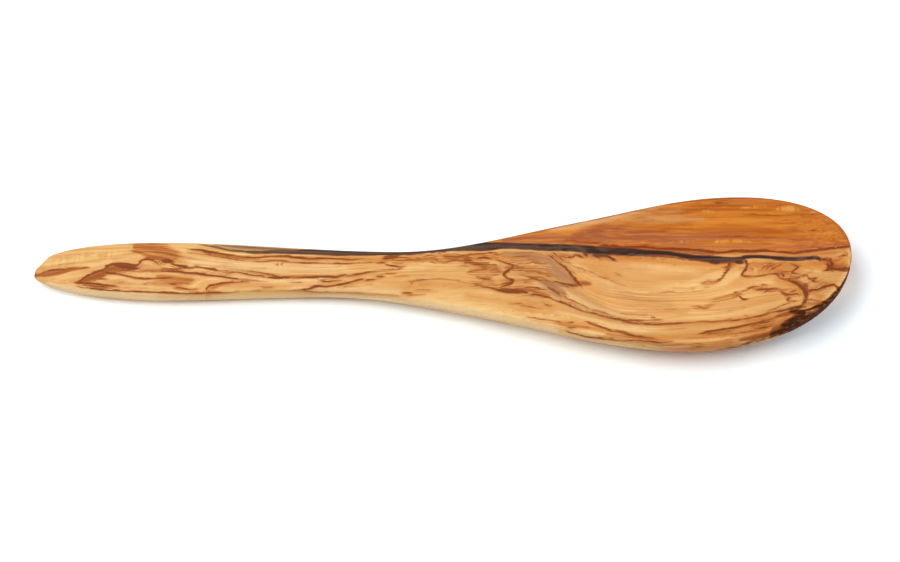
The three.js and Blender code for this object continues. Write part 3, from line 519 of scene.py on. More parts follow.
# Lines in the red wood, and along its border, and a painted shade line along the back rim's rounded edge
RED_LINES_AND_RIM_SHADE = [
    (1.4, (600, 245.6, 0.8), (622, 247, 1.1), (640, 246.9, 1.3), (650, 247.4), (662, 248.7),
     (680, 249.5, 1.4), (700, 250.4), (710, 252.3), (718, 252.7, 1.3), (727, 252), (736, 251.1),
     (750, 251.5, 1.2), (760, 251), (770, 251.2), (780, 252, 1.0), (795, 252.7), (805, 251.9),
     (815, 250.5, 1.1), (832, 248.3), (852, 246.3, 1.0)),
    (0.42, (554, 240, 0.8), (575, 241.2, 1.2), (590, 242.8), (605, 244.2), (622, 245.8, 0.8)),
    (0.28, (740, 214.2, 0.7), (752, 214.9, 1.0), (764, 215.2), (780, 215.4, 1.2), (795, 215.2),
     (806, 214.6), (818, 214.2, 0.7)),
    (0.28, (752, 236.6, 0.9), (770, 237.4, 1.4), (785, 238.4, 1.6), (800, 239.4), (816, 238.8, 0.9)),
    (0.35, (716, 236.6, 0.7), (735, 236.4, 1.0), (750, 236.4, 0.7)),
    (0.24, (686, 235.2, 1.0), (700, 234.4, 1.4), (713, 235.6, 1.0)),
    (0.35, (805, 230.8, 0.7), (818, 230.3, 0.8)),
    (0.28, (660, 228.8, 0.7), (678, 228.4, 0.8)),
    (0.35, (686, 209.7, 0.7), (700, 209), (712, 208.5, 0.7)),
    (0.49, (713, 203.4, 0.8), (720, 202.9, 1.3), (730, 203, 0.8)),
    (0.35, (688, 204.4, 0.7), (703, 203.5, 0.8)),
    (0.28, (716, 223.2, 0.7), (730, 223, 0.7)),
    (0.28, (640, 232, 0.7), (668, 231.8, 0.8)),
    (0.28, (690, 214.2, 0.7), (716, 215.8, 0.8)),
    (0.24, (580, 226, 0.8), (604, 225.6), (626, 226.4, 0.7)),
    (0.24, (584, 232.4, 0.7), (612, 231.8), (640, 233, 0.7)),
    (0.24, (572, 236.8, 0.7), (600, 237), (630, 238.4, 0.7)),
    (0.24, (516, 238.4, 0.7), (536, 238.8), (556, 237.6, 0.7)),
    (0.24, (760, 222.6, 0.7), (784, 223), (806, 221.8, 0.7)),
    (0.24, (770, 230.2, 0.7), (790, 229.8), (804, 230.4, 0.7)),
    (0.24, (700, 229.6, 0.7), (722, 229.4), (744, 230.4, 0.7)),
    (0.28, (776, 244.8, 0.7), (796, 245.6), (822, 244.4, 0.8)),
    (0.24, (668, 213.4, 0.7), (684, 213.2), (694, 214, 0.7)),
    (0.24, (664, 218, 0.7), (690, 218), (704, 217.4, 0.7)),
    # Painted shade line along the rounded back rim
    (0.4, (520, 235.2, 0.7), (560, 226.6, 0.9), (600, 218.4), (640, 209.8), (680, 202.8), (720, 198.6),
     (750, 197.8), (780, 200.2), (800, 204.6), (820, 212.4), (836, 223), (844, 232), (849, 242),
     (851.6, 252, 0.9)),
]
# Orange-brown stains, which turn dark brown above a strength of 1, and painted shade on the hollow's inner
# back wall
RUST_AND_SHADE_STROKES = [
    (1.1, (600, 251.6, 3.0), (640, 252.4, 4.0), (680, 254.4, 4.0), (700, 256.8, 4.0), (722, 258.6, 3.6),
     (744, 257.8, 2.6)),
    (1.0, (816, 258, 3), (828, 261, 4), (836, 266, 4), (848, 268, 3)),
    (0.8, (768, 267, 4), (784, 272, 4), (797, 281, 5), (806, 293, 6)),
    (1.5, (34, 276, 1.8), (40, 274.8, 2.6), (48, 273.4, 3.0), (56, 272.2, 3.2), (64, 270.6, 3.2),
     (74, 268.8, 2.6), (90, 267, 1.6)),
    (1.5, (78, 282, 1.6), (86, 280, 4.0), (94, 277.6, 5.2), (101, 275, 5.0), (107, 271, 4.4),
     (114, 267.8, 3.6), (122, 267.2, 3.2), (130, 267.8, 3.2), (138, 268.4, 2.2)),
    (0.9, (82, 284.4, 1.4), (94, 285.2, 2.0), (106, 286.3, 1.8), (117, 287, 1.2)),
    (0.8, (110, 273.4, 1.6), (124, 275.8, 1.8), (140, 278.6, 1.8), (160, 279, 1.6)),
    (1.15, (130, 246, 5.0), (138, 246.4, 6.0), (150, 248, 7.4), (160, 250.4, 8.6), (170, 253, 8.0),
     (182, 256, 5.0)),
    (1.1, (131, 251, 1.6), (138, 251.8, 2.4), (146, 254.6, 3.2), (154, 257, 3.8), (163, 258.4, 4.0),
     (172, 259, 4.0)),
    (1.3, (143, 258.4, 1.8), (152, 257.4, 3.0), (160, 259.6, 4.0), (168, 261, 4.0), (174, 262.6, 2.0)),
    (0.7, (136, 270, 1.8), (150, 270.2, 1.8), (165, 269.6, 2.2), (180, 269.6, 1.8)),
    (0.85, (154, 276.4, 2.6), (164, 277, 4.0), (174, 278.4, 5.0), (184, 279.6, 4.0), (196, 280.4, 2.0)),
    (0.7, (160, 283, 2.2), (172, 283.4, 3.4), (186, 283.8, 2.0)),
    (0.95, (171, 288, 1.8), (181, 288.8, 3.2), (190, 289.4, 2.8), (200, 289, 1.6)),
    (0.6, (207, 289, 2.4), (214, 287.4, 2.6), (222, 285, 2.2), (232, 283.4, 1.6)),
    (0.6, (186, 267, 2.0), (200, 267.8, 2.2), (214, 269.4, 1.8)),
    (0.8, (212, 254.4, 1.6), (226, 256.8, 2.4), (238, 258, 2.2), (250, 259, 1.4)),
    (0.7, (286, 276, 1.6), (304, 276, 2.4), (322, 276, 2.2), (338, 276.4, 1.6)),
    (0.6, (308, 287.6, 1.6), (318, 287.2, 2.2), (330, 287, 1.4)),
    (0.8, (383, 273, 1.5), (390, 273.8, 2.0), (398, 273.6, 1.2)),
    (0.5, (392, 276, 1.4), (402, 276.2, 1.8), (412, 276, 1.2)),
    (0.35, (108, 258, 1.8), (116, 258.6, 2.2), (124, 258.4, 1.6)),
    (0.5, (360, 260.8, 2.4), (384, 260, 3.0), (410, 259.6, 3.2), (440, 258.6, 4.0), (470, 258.4, 4.0),
     (500, 256.6, 3.6)),
    (0.7, (466, 272, 2.4), (476, 270, 4.6), (486, 268, 5.0), (494, 267.6, 3.2)),
    (0.8, (474, 277, 2.4), (483, 278.4, 4.6), (490, 281, 4.6), (497, 284, 2.2)),
    (0.95, (502, 284.8, 1.8), (508, 283, 3.0), (513, 281.4, 2.6), (518, 280.4, 1.6)),
    (0.8, (513, 266.4, 2.4), (522, 267, 3.2), (532, 266.8, 2.4), (540, 266.4, 1.4)),
    (0.7, (504, 274, 3.4), (509, 278, 3.4)),
    (0.5, (514, 282.6, 2.6), (524, 284.6, 3.0), (534, 285.4, 2.4)),
    (0.9, (520, 289.4, 1.6), (530, 290.4, 2.2), (542, 293, 2.4), (552, 296.6, 2.0)),
    (0.4, (416, 285, 3.0), (440, 283.6, 4.0), (466, 286, 4.4), (486, 286, 3.0)),
    (0.4, (412, 290.6, 2.0), (424, 291.4, 2.6), (440, 291.6, 1.8)),
    (0.5, (405, 294.2, 1.8), (416, 294.8, 2.2), (428, 294.4, 1.4)),
    (1.1, (544, 276, 1.4), (548, 276, 2.2), (553, 276.2, 1.4)),
    (1.35, (575, 282.4, 2.2), (580, 283, 3.6), (586, 283.4, 3.6), (593, 284, 1.6)),
    (0.4, (546, 289, 2.6), (553, 294, 4.4), (561, 300, 4.6), (569, 304.4, 2.6)),
    (0.4, (566, 302, 2.4), (580, 308.4, 3.0), (596, 313.6, 2.8), (612, 317.4, 2.2)),
    (0.55, (598, 276.6, 1.6), (604, 278, 2.6), (611, 280, 1.6)),
    (0.6, (556, 255, 2.0), (572, 255.6, 2.8), (592, 256.4, 2.8), (612, 258.4, 2.0)),
    (0.55, (618, 313.4, 2.6), (640, 313, 3.6), (660, 312.4, 3.6), (676, 312, 3.4), (690, 312, 2.2)),
    (0.7, (692, 308, 2.0), (702, 307.6, 2.8), (710, 304.6, 3.8), (720, 301, 4.2), (730, 298.6, 4.0),
     (740, 296, 2.4)),
    (0.75, (700, 284.2, 2.0), (709, 283, 3.6), (717, 281.4, 3.4), (723, 277.6, 2.2)),
    (0.5, (622, 322, 2.0), (640, 323.4, 2.4), (660, 323.6, 2.0), (690, 322.8, 1.6), (720, 321.4, 2.2),
     (742, 319.4, 2.4)),
    (0.95, (604, 333.4, 1.6), (616, 336.6, 3.2), (628, 338, 3.4), (640, 339, 3.2), (652, 340, 2.8),
     (664, 341, 2.2), (676, 341.8, 1.2)),
    (0.7, (704, 333, 1.8), (722, 330.8, 2.6), (740, 328, 2.8), (758, 324.4, 3.0), (778, 319, 3.0)),
    (0.9, (748, 328, 2.0), (764, 326, 3.4), (778, 322.6, 4.0), (790, 317.6, 3.6)),
    (0.8, (740, 333.6, 2.4), (758, 330.8, 3.2), (776, 327, 3.4)),
    (0.6, (742, 313.4, 1.8), (747, 316.4, 2.6), (752, 319, 1.8)),
    (0.9, (804, 303, 2.0), (812, 303.6, 2.8), (822, 302.8, 2.2)),
    (1.9, (774, 317, 1.8), (784, 314.6, 3.2), (793, 312, 3.6), (802, 310, 2.6)),
    (1.9, (800, 316, 4.0), (790, 321, 5.0), (780, 325.4, 4.4), (770, 330, 3.0)),
    (1.5, (738, 340.4, 2.0), (752, 337.6, 3.2), (768, 334, 4.0), (784, 329.6, 4.4)),
    (1.6, (500, 240.4, 4.0), (535, 239.4, 6.0), (565, 239.4, 6.4), (600, 241, 5.0), (630, 243, 3.4)),
    (0.35, (552, 255, 3.0), (580, 256, 5.0), (610, 257.4, 6.0), (640, 257.4, 6.0), (670, 258.4, 6.0),
     (700, 261, 6.0), (726, 263, 4.0)),
    (0.5, (496, 262, 5.0), (520, 267, 9.0), (540, 272, 10), (558, 277, 8.0)),
    (0.45, (496, 281, 5.0), (525, 285, 8.0), (552, 291, 8.0), (570, 297, 6.0)),
    (0.6, (736, 268, 4.0), (760, 267, 7.0), (785, 267, 7.0), (802, 269, 5.0)),
    (0.7, (96, 274, 5.0), (116, 270, 6.0), (140, 266, 7.0), (170, 262, 7.0)),
    (0.6, (150, 282, 5.0), (172, 281, 7.0), (196, 281, 5.0)),
    (0.5, (740, 322, 7.0), (766, 318, 9.0), (790, 310, 9.0)),
    (0.6, (600, 337, 4.0), (630, 341, 6.0), (664, 345, 6.0), (700, 346, 6.0), (736, 342, 6.0)),
    (0.6, (714, 254.6, 1.8), (760, 254, 2.4), (800, 255.4, 2.4), (844, 251.4, 2.2)),
    (0.8, (820, 259.4, 1.8), (828, 260.6, 2.8), (836, 260.6, 2.4), (844, 257, 1.8)),
    (0.6, (836, 264.6, 1.8), (850, 265.4, 2.2)),
    (0.5, (806, 262, 2.4), (824, 263.4, 4.0), (838, 262, 3.0)),
    (0.7, (746, 262.6, 2.6), (745, 269, 3.0), (743, 274.6, 2.2)),
    (0.6, (724, 263.4, 2.2), (728, 267.4, 2.8), (725, 272.6, 1.8)),
    (0.45, (758, 268.6, 2.4), (770, 267.4, 3.6), (782, 266.6, 2.6)),
    (0.7, (791, 265.6, 1.8), (796, 268, 2.4), (794.6, 272, 2.2)),
    (0.9, (764, 289.6, 1.6), (772, 289.8, 2.0), (782, 290.6, 2.0), (787, 294, 2.2), (788, 299, 2.0)),
    (0.5, (760, 277.4, 1.6), (774, 276.8, 2.4), (786, 281, 2.0)),
    (0.55, (812, 281, 2.0), (822, 283, 2.6), (834, 283.6, 1.8)),
    (0.95, (690, 246.6, 3.0), (730, 247.8, 3.4), (770, 247.4, 2.8), (810, 246.8, 2.8), (848, 243.4, 2.4)),
    (1.1, (558, 242, 2.0), (590, 243.6, 3.0), (625, 244.6, 2.6), (660, 246.6, 2.2), (700, 248.8, 1.6)),
    (0.9, (800, 209.6, 1.6), (803.6, 209.6, 2.4), (807, 209.6, 1.4)),
    (0.8, (712, 201.4, 1.2), (724, 202, 2.2), (740, 200.8, 1.8), (760, 200.4, 1.2)),
    # Painted shade on the hollow's inner back wall, which faces away from the light
    (1.7, (560, 242.6, 2.0), (570, 239, 5.4), (586, 235.6, 9.0), (608, 234.2, 12), (636, 236.4, 11),
     (664, 240, 8.6), (690, 243, 5.0)),
    (0.8, (640, 236, 8.0), (690, 237, 7.0), (730, 236, 5.0), (760, 238, 3.0)),
    (0.7, (690, 235.4, 2.4), (704, 235.4, 3.4), (718, 237, 2.4)),
    (2.2, (628, 249, 1.6), (650, 249.8, 2.6), (676, 251, 3.2), (700, 253, 3.4), (716, 254.4, 2.2)),
    (0.9, (540, 279.6, 2.4), (548, 284, 3.2), (558, 289, 3.4), (568, 294, 2.4)),
    (0.7, (556, 323.2, 1.6), (566, 325.4, 3.0), (580, 326.8, 3.0), (592, 328, 1.8)),
    (0.7, (758, 238.4, 2.6), (780, 239.8, 3.4), (806, 240.6, 3.6), (820, 240, 2.4)),
]
# Paler flecks and streaks, with a painted highlight along the neck's rounded front edge and a painted sheen
# under the back rim
PALE_AND_HIGHLIGHT_STROKES = [
    (0.8, (142, 263.4, 1.6), (148, 263.2, 2.4), (154, 265, 2.2), (159, 267, 1.2)),
    (0.6, (130, 256.2, 1.6), (137, 256.6, 2.2), (144, 256.4, 1.2)),
    (0.7, (126, 246.8, 1.6), (131, 247.2, 2.2), (134, 248.4, 1.2)),
    (0.6, (176, 252, 1.4), (180, 256, 2.0), (186, 259.6, 1.6)),
    (0.6, (50, 280.6, 1.2), (62, 281.8, 1.4), (74, 280.4, 1.0)),
    (0.5, (154, 273.4, 1.4), (146, 274.4, 1.6), (134, 273.6, 1.2)),
    # Painted highlight along the neck's rounded front edge
    (0.7, (452, 304, 1.2), (470, 306.8, 1.6), (486, 309, 2.0), (500, 312, 2.4), (516, 317, 2.4),
     (532, 321, 1.6)),
    (0.6, (500, 309, 2.0), (530, 313.4, 2.6), (556, 315.6, 2.6), (572, 317.6, 1.6)),
    (0.8, (566, 329.6, 1.2), (578, 331.4, 2.2), (590, 333, 2.4), (604, 335.6, 1.6)),
    (0.5, (690, 341, 1.4), (712, 339.6, 1.8), (734, 336.4, 1.4)),
    # Pale streak under the back rim, partly a painted sheen
    (0.4, (596, 219.4, 1.2), (612, 217.4, 3.0), (630, 219, 4.0), (648, 219.6, 4.0), (668, 220.6, 2.6),
     (686, 221, 1.4)),
    (0.5, (640, 213, 2.0), (652, 212, 2.4), (664, 210.6, 1.6)),
    (0.5, (638, 242.4, 1.4), (644, 242.2, 2.0), (650, 242, 1.2)),
    (0.6, (652, 244.4, 1.0), (658, 244, 1.5), (666, 244.6, 1.0)),
    (0.75, (668, 242.6, 1.6), (678, 241.6, 2.8), (688, 241.6, 2.6), (694, 241, 1.4)),
    (0.6, (695, 239, 1.0), (700, 239.4, 1.4), (705, 240.4, 1.0)),
    (0.9, (711, 242.4, 1.8), (720, 241.4, 3.0), (730, 241, 3.4), (742, 241.4, 3.2), (753, 242.4, 1.6)),
    (0.6, (700, 211, 2.0), (708, 211, 3.4), (717, 212.6, 2.4)),
    (0.8, (719, 207.4, 1.0), (724, 207, 1.6), (730, 206.8, 1.0)),
    (0.7, (736, 208, 1.4), (746, 207.6, 2.2), (758, 206.4, 3.0), (769, 206.2, 1.8)),
    (1.3, (774, 209.4, 1.8), (783, 208.6, 4.0), (791, 209, 4.4), (800, 210, 2.6)),
    (0.9, (807, 212.4, 0.9), (812, 212, 1.3), (818, 212.2, 0.9)),
    (0.6, (822, 220, 1.4), (829, 220.4, 2.4), (836, 222, 1.4)),
    (0.65, (822, 233.4, 2.0), (831, 232.6, 3.6), (840, 233.6, 2.4)),
    (0.5, (838, 241, 1.2), (843, 240.6, 2.0), (848, 242, 1.2)),
    (0.5, (752, 266.8, 2.0), (756, 270, 2.6), (752, 273, 1.6)),
    (0.5, (800, 269.6, 2.2), (815, 271, 3.0), (830, 274, 2.6)),
    (0.4, (812, 294, 2.0), (822, 293, 2.6), (832, 290, 1.6)),
    (0.45, (670, 283.4, 1.8), (684, 284, 2.2), (698, 280, 1.6)),
    (0.4, (640, 264.4, 2.2), (662, 266.4, 2.6), (690, 266.6, 2.4), (712, 268.4, 2.2)),
    (0.6, (42, 266, 6), (70, 260, 9), (104, 255, 9), (126, 252, 5)),
]
# Wide warm zones of the ground, one of which is painted shade on the hollow's left wall
AMBER_AND_SHADE_STROKES = [
    (0.35, (742, 302, 14), (785, 298, 18), (815, 290, 18)),
    (0.8, (700, 253, 3), (735, 253.8, 4), (790, 254.8, 4), (840, 253, 6)),
    (0.8, (640, 338, 6), (690, 335, 11), (730, 333, 12), (770, 326, 12)),
    (0.9, (552, 322.6, 2), (566, 325, 4.4), (578, 326.4, 4.6), (592, 328.4, 3.4), (606, 331, 2.4)),
    (0.5, (400, 286, 9), (450, 287, 12), (490, 284, 12), (530, 282, 9)),
    (0.6, (250, 255, 2), (300, 256.8, 3), (350, 257.6, 4), (395, 260, 6), (440, 258, 8), (500, 257, 8),
     (530, 258, 6)),
    (0.7, (460, 294, 8), (490, 299, 9), (530, 305, 10), (560, 312, 8)),
    (0.35, (690, 262, 8), (730, 268, 10), (780, 272, 12)),
    (0.35, (110, 283, 8), (150, 284, 9), (190, 285, 7)),
    (0.45, (110, 262, 5), (150, 262, 14), (190, 262, 8)),
    # Painted shade on the hollow's left wall
    (0.6, (545, 262, 16), (580, 280, 22), (615, 302, 18)),
    (0.25, (590, 285, 20), (640, 300, 24), (700, 304, 22), (750, 296, 18)),
    (0.1, (630, 272, 12), (670, 276, 14), (720, 278, 12)),
    (0.3, (420, 270, 12), (470, 272, 16), (520, 275, 16)),
    (0.08, (30, 262, 22), (80, 262, 22), (110, 258, 16)),
    (0.35, (40, 278, 4), (62, 281, 5), (80, 282, 4)),
    (0.6, (510, 310, 6), (556, 316, 7), (590, 324, 6)),
    (0.7, (690, 226, 7), (740, 222, 11), (790, 222, 12), (826, 228, 9)),
    (0.6, (716, 214, 6), (760, 212, 8), (804, 216, 7)),
    (0.5, (800, 233, 6), (836, 233, 7)),
    (0.35, (576, 260, 10), (602, 270, 16), (616, 286, 14), (626, 298, 10)),
    (0.8, (690, 349, 4), (720, 347, 6), (745, 342, 7)),
    (0.9, (470, 254, 5), (500, 255, 8), (535, 256, 9), (570, 256, 6)),
    (1.0, (610, 258, 4), (650, 261, 6), (700, 264, 9), (745, 264, 10)),
    (1.0, (745, 264, 9), (790, 266, 9), (830, 263, 10), (852, 262, 8)),
    (0.9, (770, 279, 7), (794, 286, 10), (806, 300, 12)),
    (0.45, (724, 282, 10), (756, 288, 16), (790, 300, 14)),
    (1.0, (808, 290, 5), (820, 296, 6), (826, 299, 4)),
]
# Pale sapwood along the front side, laid on light enough to paint the light that this down-facing side
# lacks, and paler red wood at the back, in one streak also a painted sheen
SAP_AND_PAINTED_LIGHT_STROKES = [
    # Paler red wood under the back rim, partly a painted sheen
    (0.9, (592, 220, 2), (612, 218, 4.6), (640, 217.6, 7), (664, 218.4, 6.4), (684, 219, 4.4),
     (706, 219.6, 3.0)),
    (1.6, (548, 231, 2), (574, 225, 5), (600, 219, 6), (630, 213, 6.4), (660, 207, 5)),
    (0.6, (636, 215, 4), (660, 213, 6), (684, 209, 4)),
    # Along the front side and the lower wall: pale wood, and painted light on the side that faces down
    (1.0, (44, 282, 2.0), (60, 286.4, 3.4), (80, 291, 4.2), (100, 294.4, 4.8), (130, 296.6, 5.0),
     (160, 298, 5.0)),
    (0.6, (150, 298, 5.0), (200, 298.4), (240, 297.4, 4.6), (280, 296), (320, 297, 4.6)),
    (0.4, (186, 262, 5), (220, 263, 7), (270, 267, 7), (320, 269, 7), (350, 268, 5)),
    (0.35, (192, 276, 4), (230, 277, 6), (280, 281, 6), (330, 280, 5)),
    (0.4, (290, 288, 5), (340, 290, 6), (404, 293, 6)),
    (1.0, (310, 297, 4.6), (360, 298.6, 5.4), (400, 301.4, 6.0), (440, 306.4, 6.4), (480, 314, 6.4),
     (520, 323, 6.0), (560, 331, 4.0)),
    (0.4, (552, 329, 3), (584, 338, 4.4), (616, 343.6, 4.4), (650, 347.6, 4.0), (690, 350, 3.0)),
]
# Greyish stains, and painted shade on the hollow's left wall, which faces away from the light
SMOKE_AND_HOLLOW_SHADE_STROKES = [
    (1.3, (540, 276, 4), (546, 281, 6), (556, 284, 6), (570, 285, 5), (582, 284, 3)),
    (1.3, (548, 256, 3), (551, 262, 6), (556, 269, 10), (564, 276, 10), (578, 283, 5)),
    (0.5, (554, 292, 5), (570, 299, 8), (590, 308, 8), (610, 316, 6), (636, 322, 4)),
    (0.75, (543, 281, 2.6), (546, 283.4, 3.0), (548, 287, 2.4)),
    (0.9, (544, 262, 6), (550, 270, 9), (560, 277, 8), (570, 282, 5)),
    (0.5, (556, 262, 5), (564, 270, 6), (570, 277, 5)),
    (1.5, (538, 278, 6), (546, 284, 9), (556, 290, 9), (568, 296, 6)),
    (0.3, (566, 241, 4), (588, 237, 8), (616, 236, 9)),
    (0.6, (545, 252.6, 1.4), (560, 253.4, 2.4), (580, 254.6, 2.4), (596, 256, 1.8)),
    (0.5, (700, 262, 1.4), (714, 263, 2.0), (726, 264, 1.6)),
    (0.5, (551, 291, 2.2), (556, 295, 2.6), (561, 299, 2.0)),
    (0.4, (778, 313, 2.4), (790, 311, 3.0), (800, 309, 2.4)),
    (0.3, (434, 253, 2.4), (441, 254.4, 2.8), (450, 258, 2.4)),
    (0.35, (582, 266, 12), (604, 284, 18), (640, 300, 18), (680, 304, 12)),
    (1.05, (500, 252, 4), (530, 256, 9), (550, 263, 14), (562, 274, 16), (568, 284, 12)),
    (0.6, (556, 272, 10), (566, 286, 14), (584, 301, 14), (610, 314, 10), (644, 323, 6)),
]
# Where the layers curl into fine lines
CURL_STROKES = [
    (0.7, (364, 260, 3), (390, 262, 5), (415, 260, 6), (440, 256, 5)),
    (1.2, (440, 255, 6), (470, 262, 11), (500, 268, 17), (530, 271, 18), (556, 270, 14)),
    (0.9, (466, 283, 6), (510, 289, 8), (550, 294, 8)),
    (0.7, (742, 266, 6), (780, 269, 9), (812, 280, 12), (830, 294, 9)),
    (0.7, (130, 250, 7), (158, 254, 10), (186, 258, 7)),
    (0.5, (88, 284, 6), (140, 284, 9), (194, 282, 8)),
    (0.4, (590, 337, 6), (650, 344, 7), (700, 343, 7), (756, 333, 9)),
]
# Lower border of the red wood, which lies behind it
RED_BORDER = [
    (430, 240), (446, 245), (470, 246), (520, 245.4), (560, 247.4), (610, 250), (640, 248.6), (680, 250),
    (700, 250.6), (712, 252.8), (736, 251.2), (780, 252), (795, 252.8), (815, 250.5), (832, 248.3),
    (870, 245),
]


def ease(x, start, end):
    """0 before start, 1 after end, and a smooth step between them."""
    t = np.clip((x - start) / (end - start), 0, 1)
    return t * t * (3 - 2 * t)


def through(stations, x):
    """A smooth curve through stations, level at each: the first height plus a smooth step for each rise."""
    height = np.full(np.shape(x), stations[0][1])
    for (from_x, from_height), (to_x, to_height) in zip(stations, stations[1:]):
        height = height + (to_height - from_height) * ease(x, from_x, to_x)
    return height


def bend(x, from_x, from_y, from_slope, to_x, to_y, to_slope):
    """A cubic from one place to another, with a given slope at each."""
    run = to_x - from_x
    t = np.clip((x - from_x) / run, 0, 1)
    level = from_y + (to_y - from_y) * ease(x, from_x, to_x)
    return level + run * t * (1 - t) * (from_slope * (1 - t) - to_slope * t)


def quarter(share, fullness):
    """A quarter of a superellipse, from 0 at its tip to 1 at its widest place."""
    rest = np.clip(1 - share, 0, 1)
    return (1 - rest ** fullness) ** (1 / fullness)


def trimmed(y, limit, softness):
    """The lesser of two lines, with the corner between them rounded by a parabola."""
    overlap = np.maximum(softness - np.abs(y - limit), 0)
    return np.minimum(y, limit) - overlap ** 2 / (4 * softness)


def edge_at(x, edge):
    """A long edge in plan: a round end, which is cut at the back, the taper to the neck, the swing out over
    the shoulder to the bowl's widest place, and a round end."""
    neck = (edge["neck_at"], edge["neck"])
    shoulder = (edge["shoulder_at"], edge["shoulder"], edge["shoulder_slope"])
    widest_at, widest = edge["widest_at"], edge["widest"]
    y = HANDLE_TIP_Y + (edge["grip"] - HANDLE_TIP_Y) * quarter(x / GRIP_AT, edge["handle_fullness"])
    y = trimmed(y, HANDLE_CUT_Y + HANDLE_CUT_SLOPE * x, HANDLE_CUT_ROUND)
    y = np.where(x > GRIP_AT, bend(x, GRIP_AT, edge["grip"], 0, *neck, 0), y)
    y = np.where(x > neck[0], bend(x, *neck, 0, *shoulder), y)
    y = np.where(x > shoulder[0], bend(x, *shoulder, widest_at, widest, 0), y)
    end = quarter((LENGTH - x) / (LENGTH - widest_at), edge["bowl_fullness"])
    return np.where(x > widest_at, BOWL_TIP_Y + (widest - BOWL_TIP_Y) * end, y)


def middle_at(x):
    """The net's middle line, half way between the edges and shorter than the spoon, so that the net fans
    out from its two ends into the round ends."""
    left = LENGTH - x
    along = np.where(x < 2 * MIDDLE_LINE_FROM_HANDLE_TIP, MIDDLE_LINE_FROM_HANDLE_TIP + x / 2, x)
    near_bowl_tip = left < 2 * MIDDLE_LINE_FROM_BOWL_TIP
    along = np.where(near_bowl_tip, LENGTH - MIDDLE_LINE_FROM_BOWL_TIP - left / 2, along)
    return np.stack([along, (edge_at(along, BACK_EDGE) + edge_at(along, FRONT_EDGE)) / 2], axis=-1)


def upper_height(x, across, reach, edge):
    """The upper face: its long profile, less the hollow, the crown and the rounded edge. The hollow's level
    lines are superellipses at its near end and follow the rim elsewhere, and a soft maximum with zero
    rounds the lip where it runs out."""
    profile = through(UPPER_PROFILE, x)
    fullness = edge["hollow_fullness"]
    sideways = across * reach / (reach - RIM_WIDTH)
    lengthways = np.maximum((HOLLOW_AT + HOLLOW_RUN_OUT - x) / HOLLOW_RUN_OUT, 0)
    outward = (lengthways ** fullness + sideways ** fullness) ** (1 / fullness)
    raw = (profile - FLOOR_THICKNESS) * (1 - outward ** HOLLOW_WALL_POWER)
    hollow = HOLLOW_EDGE_SOFTNESS * np.logaddexp(0, raw / HOLLOW_EDGE_SOFTNESS)
    crown = HANDLE_CROWN * (1 - ease(x, NECK_AT, HOLLOW_AT)) * across ** 2
    round_reach = np.minimum(EDGE_ROUND, reach / 2)
    over_edge = np.clip((round_reach - (1 - across) * reach) / round_reach, 0, 1)
    return profile - hollow - crown - EDGE_DROP * (1 - np.sqrt(1 - over_edge ** 2))


def lower_height(x, across, edge_height):
    """The underside: a superellipse from the edge down to its long profile, cut off level at the table."""
    swing = ease(x, NECK_AT, HOLLOW_AT)
    fullness = HANDLE_UNDERSIDE_FULLNESS + (BELLY_FULLNESS - HANDLE_UNDERSIDE_FULLNESS) * swing
    drop = edge_height - through(LOWER_PROFILE, x)
    return np.maximum(edge_height - drop * (1 - across ** fullness) ** (1 / fullness), 0)


def column_places():
    """Distances along the spoon of the net's columns: even steps along the outline, weighed so that they
    lie closer in the neck and the bowl, where the figure is fine."""
    turn = np.linspace(0, np.pi, OUTLINE_SAMPLES)
    x = LENGTH * (1 - np.cos(turn)) / 2
    half_width = (edge_at(x, BACK_EDGE) - edge_at(x, FRONT_EDGE)) / 2
    weight = HANDLE_DENSITY + (1 - HANDLE_DENSITY) * ease(x[1:], DENSE_FROM, DENSE_AT)
    weight = np.maximum(weight, 1 - ease(x[1:], 0, GRIP_AT / 2))
    walked = np.concatenate([[0], np.cumsum(weight * np.hypot(np.diff(x), np.diff(half_width)))])
    return np.interp(np.linspace(0, walked[-1], COLUMNS_ALONG_EDGE + 1), walked, x)


def half_skin(x, edge):
    """One half of the skin, from the middle line over an edge: rows of points, and their depth in the wood.
    Each column runs straight in plan from the middle line to the edge, above and then below."""
    onto_edge = np.stack([x, edge_at(x, edge)], axis=-1)
    middle = middle_at(x)
    reach = np.linalg.norm(onto_edge - middle, axis=1)
    above = 1 - (1 - np.linspace(0, 1, ROWS_ABOVE + 1)) ** CROWDING_ABOVE
    below = 1 - np.linspace(0, 1, ROWS_BELOW + 1)[1:] ** CROWDING_BELOW
    across = np.concatenate([above, below])[:, None]
    plan = middle + (onto_edge - middle) * across[..., None]
    top = upper_height(plan[..., 0], across, reach, edge)
    bottom = lower_height(plan[..., 0], across, upper_height(x, 1.0, reach, edge))
    is_above = (np.arange(len(across)) <= ROWS_ABOVE)[:, None]
    height = np.where(is_above, top, bottom)
    return np.dstack([plan, height]), np.where(is_above, 0, top - bottom)


def spoon_skin():
    """Points, depths and faces of the whole skin: the back half's columns to the bowl's tip and the front
    half's columns home again. The first and last rows are the two middle lines, which the halves share."""
    x = column_places()
    back, back_depth = half_skin(x, BACK_EDGE)
    front, front_depth = half_skin(x[-2:0:-1], FRONT_EDGE)
    points = np.concatenate([back, front], axis=1)
    depth = np.concatenate([back_depth, front_depth], axis=1)
    rows, columns = depth.shape
    number = np.arange(rows * columns).reshape(rows, columns)
    for shared in (0, rows - 1):
        number[shared, COLUMNS_ALONG_EDGE + 1:] = number[shared, COLUMNS_ALONG_EDGE - 1:0:-1]
    onward = np.roll(number, -1, axis=1)
    faces = np.stack([number[:-1], onward[:-1], onward[1:], number[1:]], axis=-1).reshape(-1, 4)
    used, faces = np.unique(faces, return_inverse=True)
    return points.reshape(-1, 3)[used], depth.ravel()[used], faces.reshape(-1, 4)


